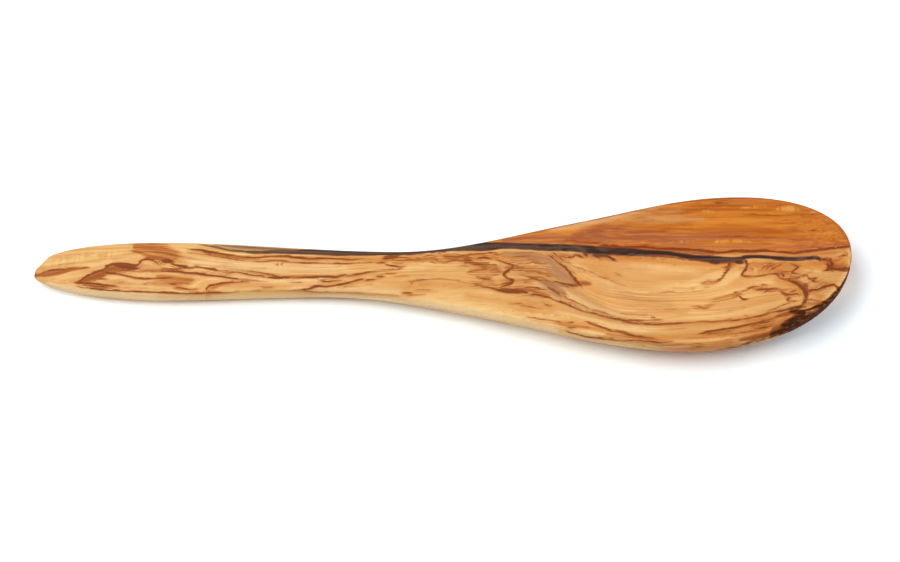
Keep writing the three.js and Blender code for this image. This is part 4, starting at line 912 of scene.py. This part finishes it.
def seen_at(points):
    """Pixels of the photograph's frame at which the camera sees points, by central projection."""
    right = np.array([1.0, 0.0, 0.0])
    up = np.array([0.0, math.sin(VIEW_ELEVATION), math.cos(VIEW_ELEVATION)])
    forward = np.array([0.0, math.cos(VIEW_ELEVATION), -math.sin(VIEW_ELEVATION)])
    from_camera = points - (VIEW_AIM - VIEW_DISTANCE * forward)
    scale = FOCAL_PIXELS / (from_camera @ forward)
    u = PICTURE_WIDTH / 2 + scale * (from_camera @ right)
    v = PICTURE_HEIGHT / 2 - scale * (from_camera @ up)
    return np.stack([u, v], axis=-1)


def waves(points, kinds):
    """The sum of sine waves over the spoon's plan."""
    x, y = points[:, 0], points[:, 1]
    return sum(height * np.sin(x / along + y / across + phase) for height, along, across, phase in kinds)


def figure_places(points, depth):
    """Where in the photograph's frame each point takes its figure from: where it is seen, shifted in slow
    waves that grow with its depth in the wood."""
    slant = np.stack([waves(points, WAVES_ALONG), waves(points, WAVES_ACROSS)], axis=-1)
    return seen_at(points) + depth[:, None] * slant


def stroke_curve(points, steps):
    """A Catmull-Rom curve through a stroke's points, half widths included: rows of u, v and half width."""
    row = np.array([tuple(p) + (np.nan,) * (3 - len(p)) for p in points], dtype=float)
    order = np.arange(len(row))
    known = ~np.isnan(row[:, 2])
    row[:, 2] = np.interp(order, order[known], row[known, 2])
    padded = np.concatenate([[2 * row[0] - row[1]], row, [2 * row[-1] - row[-2]]])
    a, b, c, d = (padded[i:len(padded) - 3 + i, None] for i in range(4))
    t = np.linspace(0, 1, steps, endpoint=False)[None, :, None]
    curve = b + t * (c - a) / 2 + t ** 2 * (a - 2.5 * b + 2 * c - d / 2)
    curve = curve + t ** 3 * (1.5 * (b - c) + (d - a) / 2)
    return np.concatenate([curve.reshape(-1, 3), row[-1:]])


def stroke_gaps(strokes, places, margin, end_share):
    """For each stroke, the places near it, the strength there, which fades to a share at its ends, how far
    they lie from its curve, below 0 on its left, and the half width. The curve is taken as short straight
    stretches, and the stretch that a place lies deepest in counts."""
    for strength, *points in strokes:
        curve = stroke_curve(points, MARK_STEPS)
        reach = curve[:, 2].max() + margin
        inside = (places > curve[:, :2].min(0) - reach) & (places < curve[:, :2].max(0) + reach)
        near = np.flatnonzero(inside.all(axis=1))
        start, run = curve[:-1], np.diff(curve, axis=0)
        length = np.linalg.norm(run[:, :2], axis=1)
        offset = places[near, None] - start[:, :2]
        share = np.clip((offset * run[:, :2]).sum(-1) / length ** 2, 0, 1)
        distance = np.linalg.norm(offset - share[..., None] * run[:, :2], axis=-1)
        width = start[:, 2] + share * run[:, 2]
        walked = np.cumsum(length) - length + share * length
        turn = run[:, 0] * offset[..., 1] - run[:, 1] * offset[..., 0]
        best = np.argmax(width - distance, axis=1)[:, None]
        every = (np.copysign(distance, turn), width, walked)
        gap, width, walked = (np.take_along_axis(each, best, axis=1)[:, 0] for each in every)
        whole = length.sum()
        to_end = np.minimum(walked, whole - walked)
        fade = ease(to_end, 0, np.minimum(np.maximum(END_FADE, width), whole / 3))
        fade = end_share + (1 - end_share) * fade
        yield strength * fade, near, gap, width


def lines(strokes, places):
    """Sharp strokes as four numbers a place: how many pixels it lies inside the nearest stroke's border,
    below 0 outside it, how far it lies from that stroke's curve, below 0 on its left, its half width, and
    its strength, blended softly where strokes meet."""
    depth = np.full(len(places), -LINE_SKIRT)
    across = np.full(len(places), LINE_SKIRT)
    half_width = np.zeros(len(places))
    strength_sum = np.zeros(len(places))
    share_sum = np.full(len(places), NO_SHARE)
    for strength, near, gap, width in stroke_gaps(strokes, places, LINE_SKIRT, LINE_END_SHARE):
        inside = width - np.abs(gap)
        nearest = inside > depth[near]
        for kept, new in ((across, gap), (half_width, width), (depth, inside)):
            kept[near] = np.where(nearest, new, kept[near])
        share = np.exp(LINE_BLEND * inside)
        strength_sum[near] += strength * share
        share_sum[near] += share
    return depth, across, half_width, strength_sum / share_sum


def washes(strokes, places, core=0.0):
    """Soft strokes as one number a place: the strength, which falls evenly from the core to the half width.
    The strongest counts."""
    tint = np.zeros(len(places))
    for strength, near, gap, width in stroke_gaps(strokes, places, 0, WASH_END_SHARE):
        share = np.clip((1 - np.abs(gap) / width) / (1 - core), 0, 1)
        tint[near] = np.maximum(tint[near], strength * share)
    return tint


def bled(strokes):
    """The same strokes moved down the picture, wider and weaker, for the stain that a vein bleeds."""
    def moved(u, v, *half_width):
        """A point lower by the shift, and wider by the width if it has one of its own."""
        return (u, v + BLEED_SHIFT, *(half + BLEED_WIDTH for half in half_width))
    return [(strength * BLEED_SHARE, *(moved(*point) for point in points)) for strength, *points in strokes]


def grain_guides(strokes):
    """Places and slopes along the strokes that run along the grain: long ones that never turn back."""
    guides = []
    for _, *points in strokes:
        curve = stroke_curve(points, GUIDE_STEPS)
        run = np.diff(curve[:, :2], axis=0)
        long_enough = np.ptp(curve[:, 0]) > GUIDE_LENGTH
        if long_enough and np.all(run[:, 0] * run[0, 0] > 0):
            guides.append(np.column_stack([curve[1:, :2] - run / 2, run[:, 1] / run[:, 0]]))
    return np.concatenate(guides)


def growth_layers(strokes, places):
    """Which growth layer each place lies in, in millimetres across the grain. The layers are flat at the
    handle's tip and are carried on to the bowl's tip along slopes that are averaged from the guides around
    a place, with bell-shaped weights, and that are level away from them."""
    guides = grain_guides(strokes)
    u = np.arange(0, PICTURE_WIDTH, LAYER_STEP)
    v = np.arange(0, PICTURE_HEIGHT, LAYER_STEP)
    across = ((v[:, None] - guides[:, 1]) / GUIDE_REACH_ACROSS) ** 2
    layers = [v]
    for from_u in u[:-1]:
        weight = np.exp(-across - ((from_u - guides[:, 0]) / GUIDE_REACH_ALONG) ** 2)
        slope = weight @ guides[:, 2] / (weight.sum(axis=1) + LEVEL_GRAIN_WEIGHT)
        layers.append(np.interp(v - LAYER_STEP * slope, v, layers[-1]))
    layers = np.array(layers)
    last_cell = np.array(layers.shape) - 1 - INSIDE_LAST_CELL
    spot = np.clip(places / LAYER_STEP, 0, last_cell)
    (i, j), (s, t) = spot.astype(int).T, np.modf(spot)[0].T
    near = layers[i, j] * (1 - t) + layers[i, j + 1] * t
    far = layers[i + 1, j] * (1 - t) + layers[i + 1, j + 1] * t
    pixels_per_millimetre = FOCAL_PIXELS / VIEW_DISTANCE * math.sin(VIEW_ELEVATION)
    return (near * (1 - s) + far * s) / pixels_per_millimetre


def wood_figure(points, depth):
    """The figure as numbers for each point: for each kind of mark, and for the red wood and its border."""
    places = figure_places(points, depth)
    veins_and_edge_shade = HANDLE_VEINS_AND_EDGE_SHADE + NECK_VEINS + HOLLOW_VEINS + RIM_VEINS + BURL_VEINS + RED_LINES_AND_RIM_SHADE
    vein, vein_across, vein_width, vein_strength = lines(veins_and_edge_shade, places)
    heart, _, _, heart_strength = lines(HEART_STROKES, places)
    border = np.interp(places[:, 0], *np.array(RED_BORDER).T)
    rust_and_shade = np.maximum(washes(RUST_AND_SHADE_STROKES, places, core=0.2), washes(bled(veins_and_edge_shade), places))
    return {
        "layer": growth_layers(HEART_STROKES + veins_and_edge_shade, places),
        "vein": vein,
        "vein_across": vein_across,
        "vein_width": vein_width,
        "vein_strength": vein_strength,
        "heart": heart,
        "heart_strength": heart_strength,
        "ash": washes(ASH_STROKES, places, core=0.5),
        "burn_and_shade": washes(BURN_AND_SHADE_STROKES, places, core=0.2),
        "rust_and_shade": rust_and_shade,
        "smoke_and_shade": washes(SMOKE_AND_HOLLOW_SHADE_STROKES, places),
        "curl": washes(CURL_STROKES, places),
        "amber_and_shade": washes(AMBER_AND_SHADE_STROKES, places),
        "sap_and_painted_light": washes(SAP_AND_PAINTED_LIGHT_STROKES, places),
        # Pale marks, with a painted highlight and sheen among them
        "pale": washes(PALE_AND_HIGHLIGHT_STROKES, places),
        "red_wood": np.clip(border - places[:, 1], -LINE_SKIRT, LINE_SKIRT),
    }


def colour(red, green, blue):
    """A colour given as it looks on screen, 0 to 255, as the linear one that a shader takes."""
    share = np.array([red, green, blue]) / 255
    linear = np.where(share < 0.04045, share / 12.92, ((share + 0.055) / 1.055) ** 2.4)
    return (*linear, 1.0)


# Colours of the pale wood and of the marks in it
HONEY = colour(232, 179, 110)
PALE_HONEY = colour(248, 206, 140)
HONEY_RING = colour(210, 142, 76)
HONEY_STREAK = colour(212, 146, 80)
HONEY_PATCH = colour(222, 152, 80)
# Amber tone, which also paints shade on the hollow's left wall
AMBER_TONE_AND_SHADE = colour(216, 142, 68)
# Pale sapwood, bright enough to paint the light on the down-facing front side too
SAPWOOD_AND_PAINTED_LIGHT = colour(255, 220, 168)
RUST = colour(200, 120, 56)
DEEP_RUST = colour(150, 80, 38)
# Pale flecks, and the painted highlight on the neck's front edge
FLECK_AND_HIGHLIGHT = colour(251, 210, 140)
# Vein colours, which also paint the shade lines along the edges
VEIN_AND_SHADE_LINE_EDGE = colour(186, 106, 50)
VEIN_AND_SHADE_LINE_CORE = colour(122, 62, 32)

# Colours of the red wood and of the same marks in it
RED = colour(206, 116, 36)
PALE_RED = colour(230, 148, 60)
RED_RING = colour(154, 74, 26)
RED_CLOSE_RING = colour(180, 90, 30)
RED_DARK_THREAD = colour(166, 82, 28)
RED_PALE_THREAD = colour(236, 154, 68)
RED_AMBER = colour(226, 140, 50)
# Paler red wood, which also paints a sheen under the back rim
RED_SAPWOOD_AND_SHEEN = colour(228, 178, 124)
# Rust in the red wood, also the painted shade on the hollow's back wall
RED_RUST_AND_SHADE = colour(188, 112, 66)
RED_DEEP_RUST_AND_SHADE = colour(174, 98, 58)
# Pale flecks in the red wood, one of which also paints a sheen
RED_FLECK_AND_SHEEN = colour(244, 174, 80)
# Vein colours in the red wood, which also paint the shade line along the back rim
RED_VEIN_AND_SHADE_LINE_EDGE = colour(172, 80, 18)
RED_VEIN_AND_SHADE_LINE_CORE = colour(130, 56, 16)

# Colours of the marks that look alike in both woods
FIBRE = colour(170, 100, 48)
PORE = colour(120, 66, 32)
# Greyish brown of the stains and of the painted shade on the hollow's left wall
SMOKE_AND_SHADE = colour(162, 116, 82)
CURL_GROUND = colour(202, 132, 70)
CURL_LINE = colour(160, 92, 46)
HEART = colour(48, 32, 28)
HEART_THREAD = colour(92, 68, 58)
HEART_EDGE = colour(112, 66, 42)
ASH = colour(128, 92, 72)
BURN = colour(56, 28, 14)
# Brown edge of the burn, which also paints shade on the rim and the lower wall
BURN_EDGE_AND_SHADE = colour(124, 62, 22)

# The oiled surface, with its relief in metres
SATIN_SPECULAR = 0.08
RELIEF_STRENGTH = 0.25
RELIEF_HEIGHT = 0.0001


class Finish:
    """The nodes of a material or a world, with a short call for each kind that the finishes use."""

    def __init__(self, owner):
        owner.use_nodes = True
        self.tree = owner.node_tree

    def put(self, node, values):
        """Sets a node's inputs: a socket is linked and anything else is its value."""
        for key, value in values.items():
            if isinstance(value, bpy.types.NodeSocket):
                self.tree.links.new(value, node.inputs[key])
            else:
                node.inputs[key].default_value = value
        return node

    def add(self, kind, values, **settings):
        """A new node with its settings and inputs."""
        node = self.tree.nodes.new(kind)
        for name, setting in settings.items():
            setattr(node, name, setting)
        return self.put(node, values)

    def place(self):
        """The place on the piece, in metres."""
        return self.add("ShaderNodeTexCoord", {}).outputs["Object"]

    def mark(self, name):
        """One of the figure's numbers, as the mesh holds it."""
        return self.add("ShaderNodeAttribute", {}, attribute_name=name).outputs["Fac"]

    def maths(self, operation, *values):
        """One of the node's operations on one to three numbers."""
        return self.add("ShaderNodeMath", dict(enumerate(values)), operation=operation).outputs[0]

    def plus(self, value, other):
        """Two numbers added."""
        return self.maths("ADD", value, other)

    def times(self, value, other):
        """Two numbers multiplied."""
        return self.maths("MULTIPLY", value, other)

    def line(self, value, slope, start):
        """A straight line: the start, plus the slope times the value."""
        return self.maths("MULTIPLY_ADD", value, slope, start)

    def swing(self, noise, height):
        """A noise around a half, made to swing around 0."""
        return self.times(self.maths("SUBTRACT", noise, 0.5), height)

    def teeth(self, noise, count, sharpness):
        """Rings that are sharp on one side: the fraction of so many times the noise, to a power."""
        return self.maths("POWER", self.maths("FRACT", self.times(noise, count)), sharpness)

    def step(self, value, low, high, top=1.0):
        """0 below low, top above high, and a smooth step between them."""
        values = {0: value, 1: low, 2: high, 3: 0.0, 4: top}
        return self.add("ShaderNodeMapRange", values, interpolation_type="SMOOTHSTEP").outputs[0]

    def mix(self, share, under, over):
        """One colour laid over another by a share."""
        return self.add("ShaderNodeMix", {0: share, 6: under, 7: over}, data_type="RGBA").outputs[2]

    def noise(self, place, per_metre, detail=2.0):
        """Noise with so many features to the metre along x, y and z."""
        scaled = self.add("ShaderNodeVectorMath", {0: place, 1: per_metre}, operation="MULTIPLY").outputs[0]
        values = {"Vector": scaled, "Scale": 1.0, "Detail": detail}
        return self.add("ShaderNodeTexNoise", values).outputs["Fac"]


class OliveGrain(Finish):
    """The noises of olive wood, and the coats of colour that they break up, from ground to pores."""

    def __init__(self, owner):
        super().__init__(owner)
        place = self.place()
        along = self.add("ShaderNodeSeparateXYZ", {0: place}).outputs["X"]
        layer = self.times(self.mark("layer"), MILLIMETRE)
        grain = self.add("ShaderNodeCombineXYZ", {"X": along, "Y": layer}).outputs[0]
        # These follow the growth layers
        self.bands = self.noise(grain, (11, 150, 1))
        growth = self.noise(grain, (6, 130, 1))
        self.close_growth = self.noise(grain, (18, 620, 1), 3.0)
        self.streaks = self.noise(grain, (22, 560, 1), 4.0)
        # These run straight along the spoon, apart from the ripple, which lies across it
        curls = self.noise(place, (45, 300, 300))
        self.patches = self.noise(place, (60, 130, 130))
        blots = self.noise(place, (160, 420, 420))
        wobble = self.noise(place, (220, 900, 900))
        self.fibres = self.noise(place, (50, 2200, 2200))
        self.threads = self.noise(place, (22, 1000, 1000), 3.0)
        self.pores = self.noise(place, (320, 5200, 5200), 1.0)
        self.ripple = self.noise(place, (620, 90, 90))
        # Rings, and what frays and breaks up the borders of the marks
        self.ring = self.times(self.teeth(growth, 16.0, 2.5), self.step(self.patches, 0.3, 0.65))
        self.curl = self.teeth(curls, 4.5, 3.0)
        self.fray = self.plus(self.swing(self.fibres, 2.2), self.swing(wobble, 2.4))
        self.sway = self.swing(wobble, 3.0)
        self.streaky = self.step(self.streaks, 0.3, 0.7, 1.6)
        uneven = self.plus(self.step(blots, 0.36, 0.62, 0.5), self.step(self.patches, 0.34, 0.62, 0.5))
        self.uneven = self.plus(uneven, 0.6)
        self.mottled = self.plus(self.step(wobble, 0.36, 0.62, 0.7), 0.6)
        self.behind = self.step(self.plus(self.mark("red_wood"), self.fray), -1.0, 1.0)

    def in_each(self, pale_wood, red_wood):
        """One colour in the pale wood and another in the red wood behind it."""
        return self.mix(self.behind, pale_wood, red_wood)

    def ground(self):
        """Honey wood with slow bands, rings, streaks and patches, and red wood with closer rings."""
        honey = self.mix(self.step(self.bands, 0.3, 0.7), HONEY, PALE_HONEY)
        honey = self.mix(self.times(self.ring, 0.4), honey, HONEY_RING)
        honey = self.mix(self.step(self.streaks, 0.42, 0.66, 0.7), honey, HONEY_STREAK)
        honey = self.mix(self.step(self.patches, 0.48, 0.75, 0.22), honey, HONEY_PATCH)
        red = self.mix(self.step(self.bands, 0.3, 0.7), RED, PALE_RED)
        red = self.mix(self.step(self.close_growth, 0.44, 0.66, 0.7), red, RED_CLOSE_RING)
        red = self.mix(self.times(self.ring, 0.45), red, RED_RING)
        return self.in_each(honey, red)

    def stained(self, tone):
        """Amber zones, one of them painted shade on the hollow's left wall, and sapwood, which also paints
        light on the down-facing front side, the fibres, and rust and smoke in streaks, which also paint
        shade in the hollow. In the red wood the sapwood is streaked too."""
        # Amber zones, with the painted shade on the hollow's left wall
        tone = self.mix(self.mark("amber_and_shade"), tone, self.in_each(AMBER_TONE_AND_SHADE, RED_AMBER))
        # On the front the sapwood is laid on whole, which paints light on the side that faces down
        front = self.maths("SUBTRACT", 1.0, self.behind)
        sap_and_painted_light = self.maths("MAXIMUM", self.step(self.streaks, 0.8, 0.3), front)
        sap_and_painted_light = self.times(self.mark("sap_and_painted_light"), sap_and_painted_light)
        tone = self.mix(sap_and_painted_light, tone, self.in_each(SAPWOOD_AND_PAINTED_LIGHT, RED_SAPWOOD_AND_SHEEN))
        tone = self.mix(self.step(self.fibres, 0.45, 0.75, 0.16), tone, FIBRE)
        # Rust, and the painted shade on the hollow's back wall
        rust_and_shade = self.times(self.mark("rust_and_shade"), self.line(self.streaky, 0.6, 0.6))
        tone = self.mix(self.step(rust_and_shade, 0.0, 1.0, 0.9), tone, self.in_each(RUST, RED_RUST_AND_SHADE))
        tone = self.mix(self.step(rust_and_shade, 0.6, 1.8, 0.85), tone, self.in_each(DEEP_RUST, RED_DEEP_RUST_AND_SHADE))
        # Greyish stain, and painted shade on the hollow's left wall
        smoke_and_shade = self.times(self.mark("smoke_and_shade"), self.line(self.streaky, 0.5, 0.6))
        return self.mix(self.step(smoke_and_shade, 0.0, 1.2, 0.82), tone, SMOKE_AND_SHADE)

    def threaded(self, tone):
        """Fine rings where the layers curl, dark and pale threads in the red wood, and rippled flecks, among
        them a painted highlight on the neck's front edge and a painted sheen under the back rim.
        """
        tone = self.mix(self.times(self.mark("curl"), 0.3), tone, CURL_GROUND)
        curled = self.times(self.times(self.curl, self.mark("curl")), self.uneven)
        tone = self.mix(self.step(curled, 0.05, 0.6, 0.8), tone, CURL_LINE)
        dark = self.times(self.step(self.threads, 0.48, 0.7, 0.5), self.behind)
        tone = self.mix(dark, tone, RED_DARK_THREAD)
        pale = self.times(self.step(self.threads, 0.5, 0.3, 0.4), self.behind)
        tone = self.mix(pale, tone, RED_PALE_THREAD)
        # Pale marks, with the painted highlight and sheen
        fleck = self.times(self.mark("pale"), self.line(self.ripple, 3.0, -0.8))
        return self.mix(self.step(fleck, 0.0, 1.1, 0.85), tone, self.in_each(FLECK_AND_HIGHLIGHT, RED_FLECK_AND_SHEEN))

    def veined(self, tone):
        """Brown veins that sway a little, each with a soft edge and a darker core, and painted shade lines
        along the handle's front edge and the back rim.
        """
        strength = self.times(self.mark("vein_strength"), self.uneven)
        strength = self.times(strength, self.step(self.mark("vein"), -2.4, -1.2))
        across = self.maths("ABSOLUTE", self.plus(self.mark("vein_across"), self.sway))
        inside = self.maths("SUBTRACT", self.mark("vein_width"), across)
        edge = self.step(self.line(self.fray, 0.7, inside), -1.4, 1.2)
        edge = self.step(self.times(edge, strength), 0.0, 0.8, 0.85)
        tone = self.mix(edge, tone, self.in_each(VEIN_AND_SHADE_LINE_EDGE, RED_VEIN_AND_SHADE_LINE_EDGE))
        core = self.step(self.line(self.fray, 0.45, inside), -0.5, 1.3)
        core = self.step(self.times(core, strength), 0.12, 0.85, 0.88)
        return self.mix(core, tone, self.in_each(VEIN_AND_SHADE_LINE_CORE, RED_VEIN_AND_SHADE_LINE_CORE))

    def darkened(self, tone):
        """The threaded heart with a brown edge and ash streaks, the mottled burn with its painted shade on
        the rim and the lower wall, and the pores.
        """
        heart = self.step(self.line(self.fray, 0.55, self.mark("heart")), -1.6, 1.4)
        heart = self.times(heart, self.mark("heart_strength"))
        heart = self.times(heart, self.line(self.close_growth, 0.6, 0.7))
        tone = self.mix(self.step(heart, 0.0, 0.5, 0.92), tone, HEART_EDGE)
        threaded_heart = self.mix(self.step(self.threads, 0.4, 0.66), HEART, HEART_THREAD)
        tone = self.mix(self.step(heart, 0.3, 0.95, 0.97), tone, threaded_heart)
        tone = self.mix(self.times(self.mark("ash"), self.streaky), tone, ASH)
        # The burn, and painted shade on the rim and the lower wall
        burn_and_shade = self.times(self.mark("burn_and_shade"), self.mottled)
        tone = self.mix(self.step(burn_and_shade, 0.0, 0.6, 0.94), tone, BURN_EDGE_AND_SHADE)
        tone = self.mix(self.step(burn_and_shade, 0.4, 1.1, 0.94), tone, BURN)
        return self.mix(self.step(self.pores, 0.66, 0.78, 0.25), tone, PORE)


def olive_wood():
    """Oiled olive wood: its coats of colour, satin with rougher patches and matt where the burn and its
    painted shade lie, and a low relief of fibres and pores."""
    material = bpy.data.materials.new("olive_wood")
    wood = OliveGrain(material)
    tone = wood.ground()
    for coat in (wood.stained, wood.threaded, wood.veined, wood.darkened):
        tone = coat(tone)
    rough = wood.plus(wood.line(wood.patches, 0.16, 0.4), wood.step(wood.mark("burn_and_shade"), 0.0, 0.4, 0.4))
    relief = wood.line(wood.pores, -0.5, wood.fibres)
    relief = {"Strength": RELIEF_STRENGTH, "Distance": RELIEF_HEIGHT, "Height": relief}
    bump = wood.add("ShaderNodeBump", relief)
    wood.put(wood.tree.nodes["Principled BSDF"], {
        "Base Color": tone, "Roughness": rough,
        "Specular IOR Level": SATIN_SPECULAR, "Normal": bump.outputs[0],
    })
    return material


def seen_directly(finish):
    """1 for the camera, for reflections and through glass, and 0 for light that falls on something."""
    path = finish.add("ShaderNodeLightPath", {})
    seen = finish.plus(path.outputs["Is Camera Ray"], path.outputs["Is Glossy Ray"])
    return finish.plus(seen, path.outputs["Is Transmission Ray"])


def white_table():
    """Matt white. The camera and reflections see it a share brighter than it is, so that it clears to full
    white and only the close shadow shows, and a little bluer, which evens out the warm light that the wood
    throws on it. Far from the spoon they see plain white."""
    material = bpy.data.materials.new("white_table")
    table = Finish(material)
    seen = seen_directly(table)
    matt = {"Base Color": TABLE_COLOUR, "Roughness": 1.0, "Specular IOR Level": 0.0}
    matt = table.put(table.tree.nodes["Principled BSDF"], matt).outputs[0]
    brighter = table.add("ShaderNodeBsdfDiffuse", {"Color": table.mix(seen, BLACK, TABLE_EXTRA)}).outputs[0]
    near = table.add("ShaderNodeAddShader", {0: matt, 1: brighter}).outputs[0]
    white = table.add("ShaderNodeEmission", {"Color": WHITE, "Strength": 1.0}).outputs[0]
    distance = table.add("ShaderNodeVectorMath", {0: table.place()}, operation="LENGTH").outputs["Value"]
    far = table.times(table.step(distance, TABLE_CLEARS_FROM, TABLE_CLEARS_AT), seen)
    whole = table.add("ShaderNodeMixShader", {0: far, 1: near, 2: white})
    table.put(table.tree.nodes["Material Output"], {"Surface": whole.outputs[0]})
    return material


def make_piece(name, points, faces, material):
    """A smooth-shaded mesh object at the origin, from points in metres."""
    mesh = bpy.data.meshes.new(name)
    mesh.from_pydata(points, [], faces.tolist())
    mesh.polygons.foreach_set("use_smooth", np.ones(len(faces), dtype=bool))
    mesh.materials.append(material)
    mesh.update()
    piece = bpy.data.objects.new(name, mesh)
    bpy.context.scene.collection.objects.link(piece)
    return piece


def into_frame(points):
    """Points in the maker's millimetres as points in the frame in metres: the origin is under the middle."""
    middle = np.array([LENGTH / 2, (BACK_EDGE["widest"] + FRONT_EDGE["widest"]) / 2, 0.0])
    return (np.asarray(points) - middle) * MILLIMETRE


def make_spoon():
    """The whole spoon, with its figure as numbers on the mesh."""
    points, depth, faces = spoon_skin()
    spoon = make_piece("carved_spoon", into_frame(points), faces, olive_wood())
    for name, marks in wood_figure(points, depth).items():
        spoon.data.attributes.new(name, "FLOAT", "POINT").data.foreach_set("value", marks)
    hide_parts("spoon")
    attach(spoon, "root")


def make_table():
    """A flat square far wider than the spoon."""
    far = TABLE_REACH
    corners = np.array([(-far, -far, 0), (far, -far, 0), (far, far, 0), (-far, far, 0)])
    make_piece("table", corners, np.array([[0, 1, 2, 3]]), white_table())


def add_lamp(name, place, size, power, tint):
    """A square soft box that faces the spoon's middle."""
    lamp = bpy.data.lights.new(name, "AREA")
    lamp.color = tint
    lamp.size = size
    lamp.energy = power
    stand = bpy.data.objects.new(name, lamp)
    stand.location = place
    stand.rotation_euler = (-stand.location).to_track_quat("-Z", "Y").to_euler()
    bpy.context.scene.collection.objects.link(stand)


def light_studio():
    """The soft boxes, and a faint fill from all around that is seen as plain white."""
    for soft_box in SOFT_BOXES:
        add_lamp(**soft_box)
    world = bpy.data.worlds.new("studio_fill")
    studio = Finish(world)
    fill = {"Color": FILL_COLOUR, "Strength": FILL_STRENGTH}
    fill = studio.put(studio.tree.nodes["Background"], fill).outputs[0]
    white = studio.add("ShaderNodeBackground", {"Color": WHITE, "Strength": 1.0}).outputs[0]
    both = studio.add("ShaderNodeMixShader", {0: seen_directly(studio), 1: fill, 2: white})
    studio.put(studio.tree.nodes["World Output"], {"Surface": both.outputs[0]})
    bpy.context.scene.world = world


def place_camera():
    """The camera at the photograph's place, level from side to side."""
    camera = bpy.data.cameras.new("photo_camera")
    camera.lens = LENS
    camera.sensor_width = SENSOR
    back = np.array([0.0, -math.cos(VIEW_ELEVATION), math.sin(VIEW_ELEVATION)])
    stand = bpy.data.objects.new("photo_camera", camera)
    stand.location = into_frame(VIEW_AIM + VIEW_DISTANCE * back)
    stand.rotation_euler = (math.pi / 2 - VIEW_ELEVATION, 0.0, 0.0)
    bpy.context.scene.collection.objects.link(stand)
    bpy.context.scene.camera = stand


bpy.context.scene.view_settings.view_transform = "Standard"
place_camera()
make_table()
light_studio()
make_spoon()

bpy.context.view_layer.update()
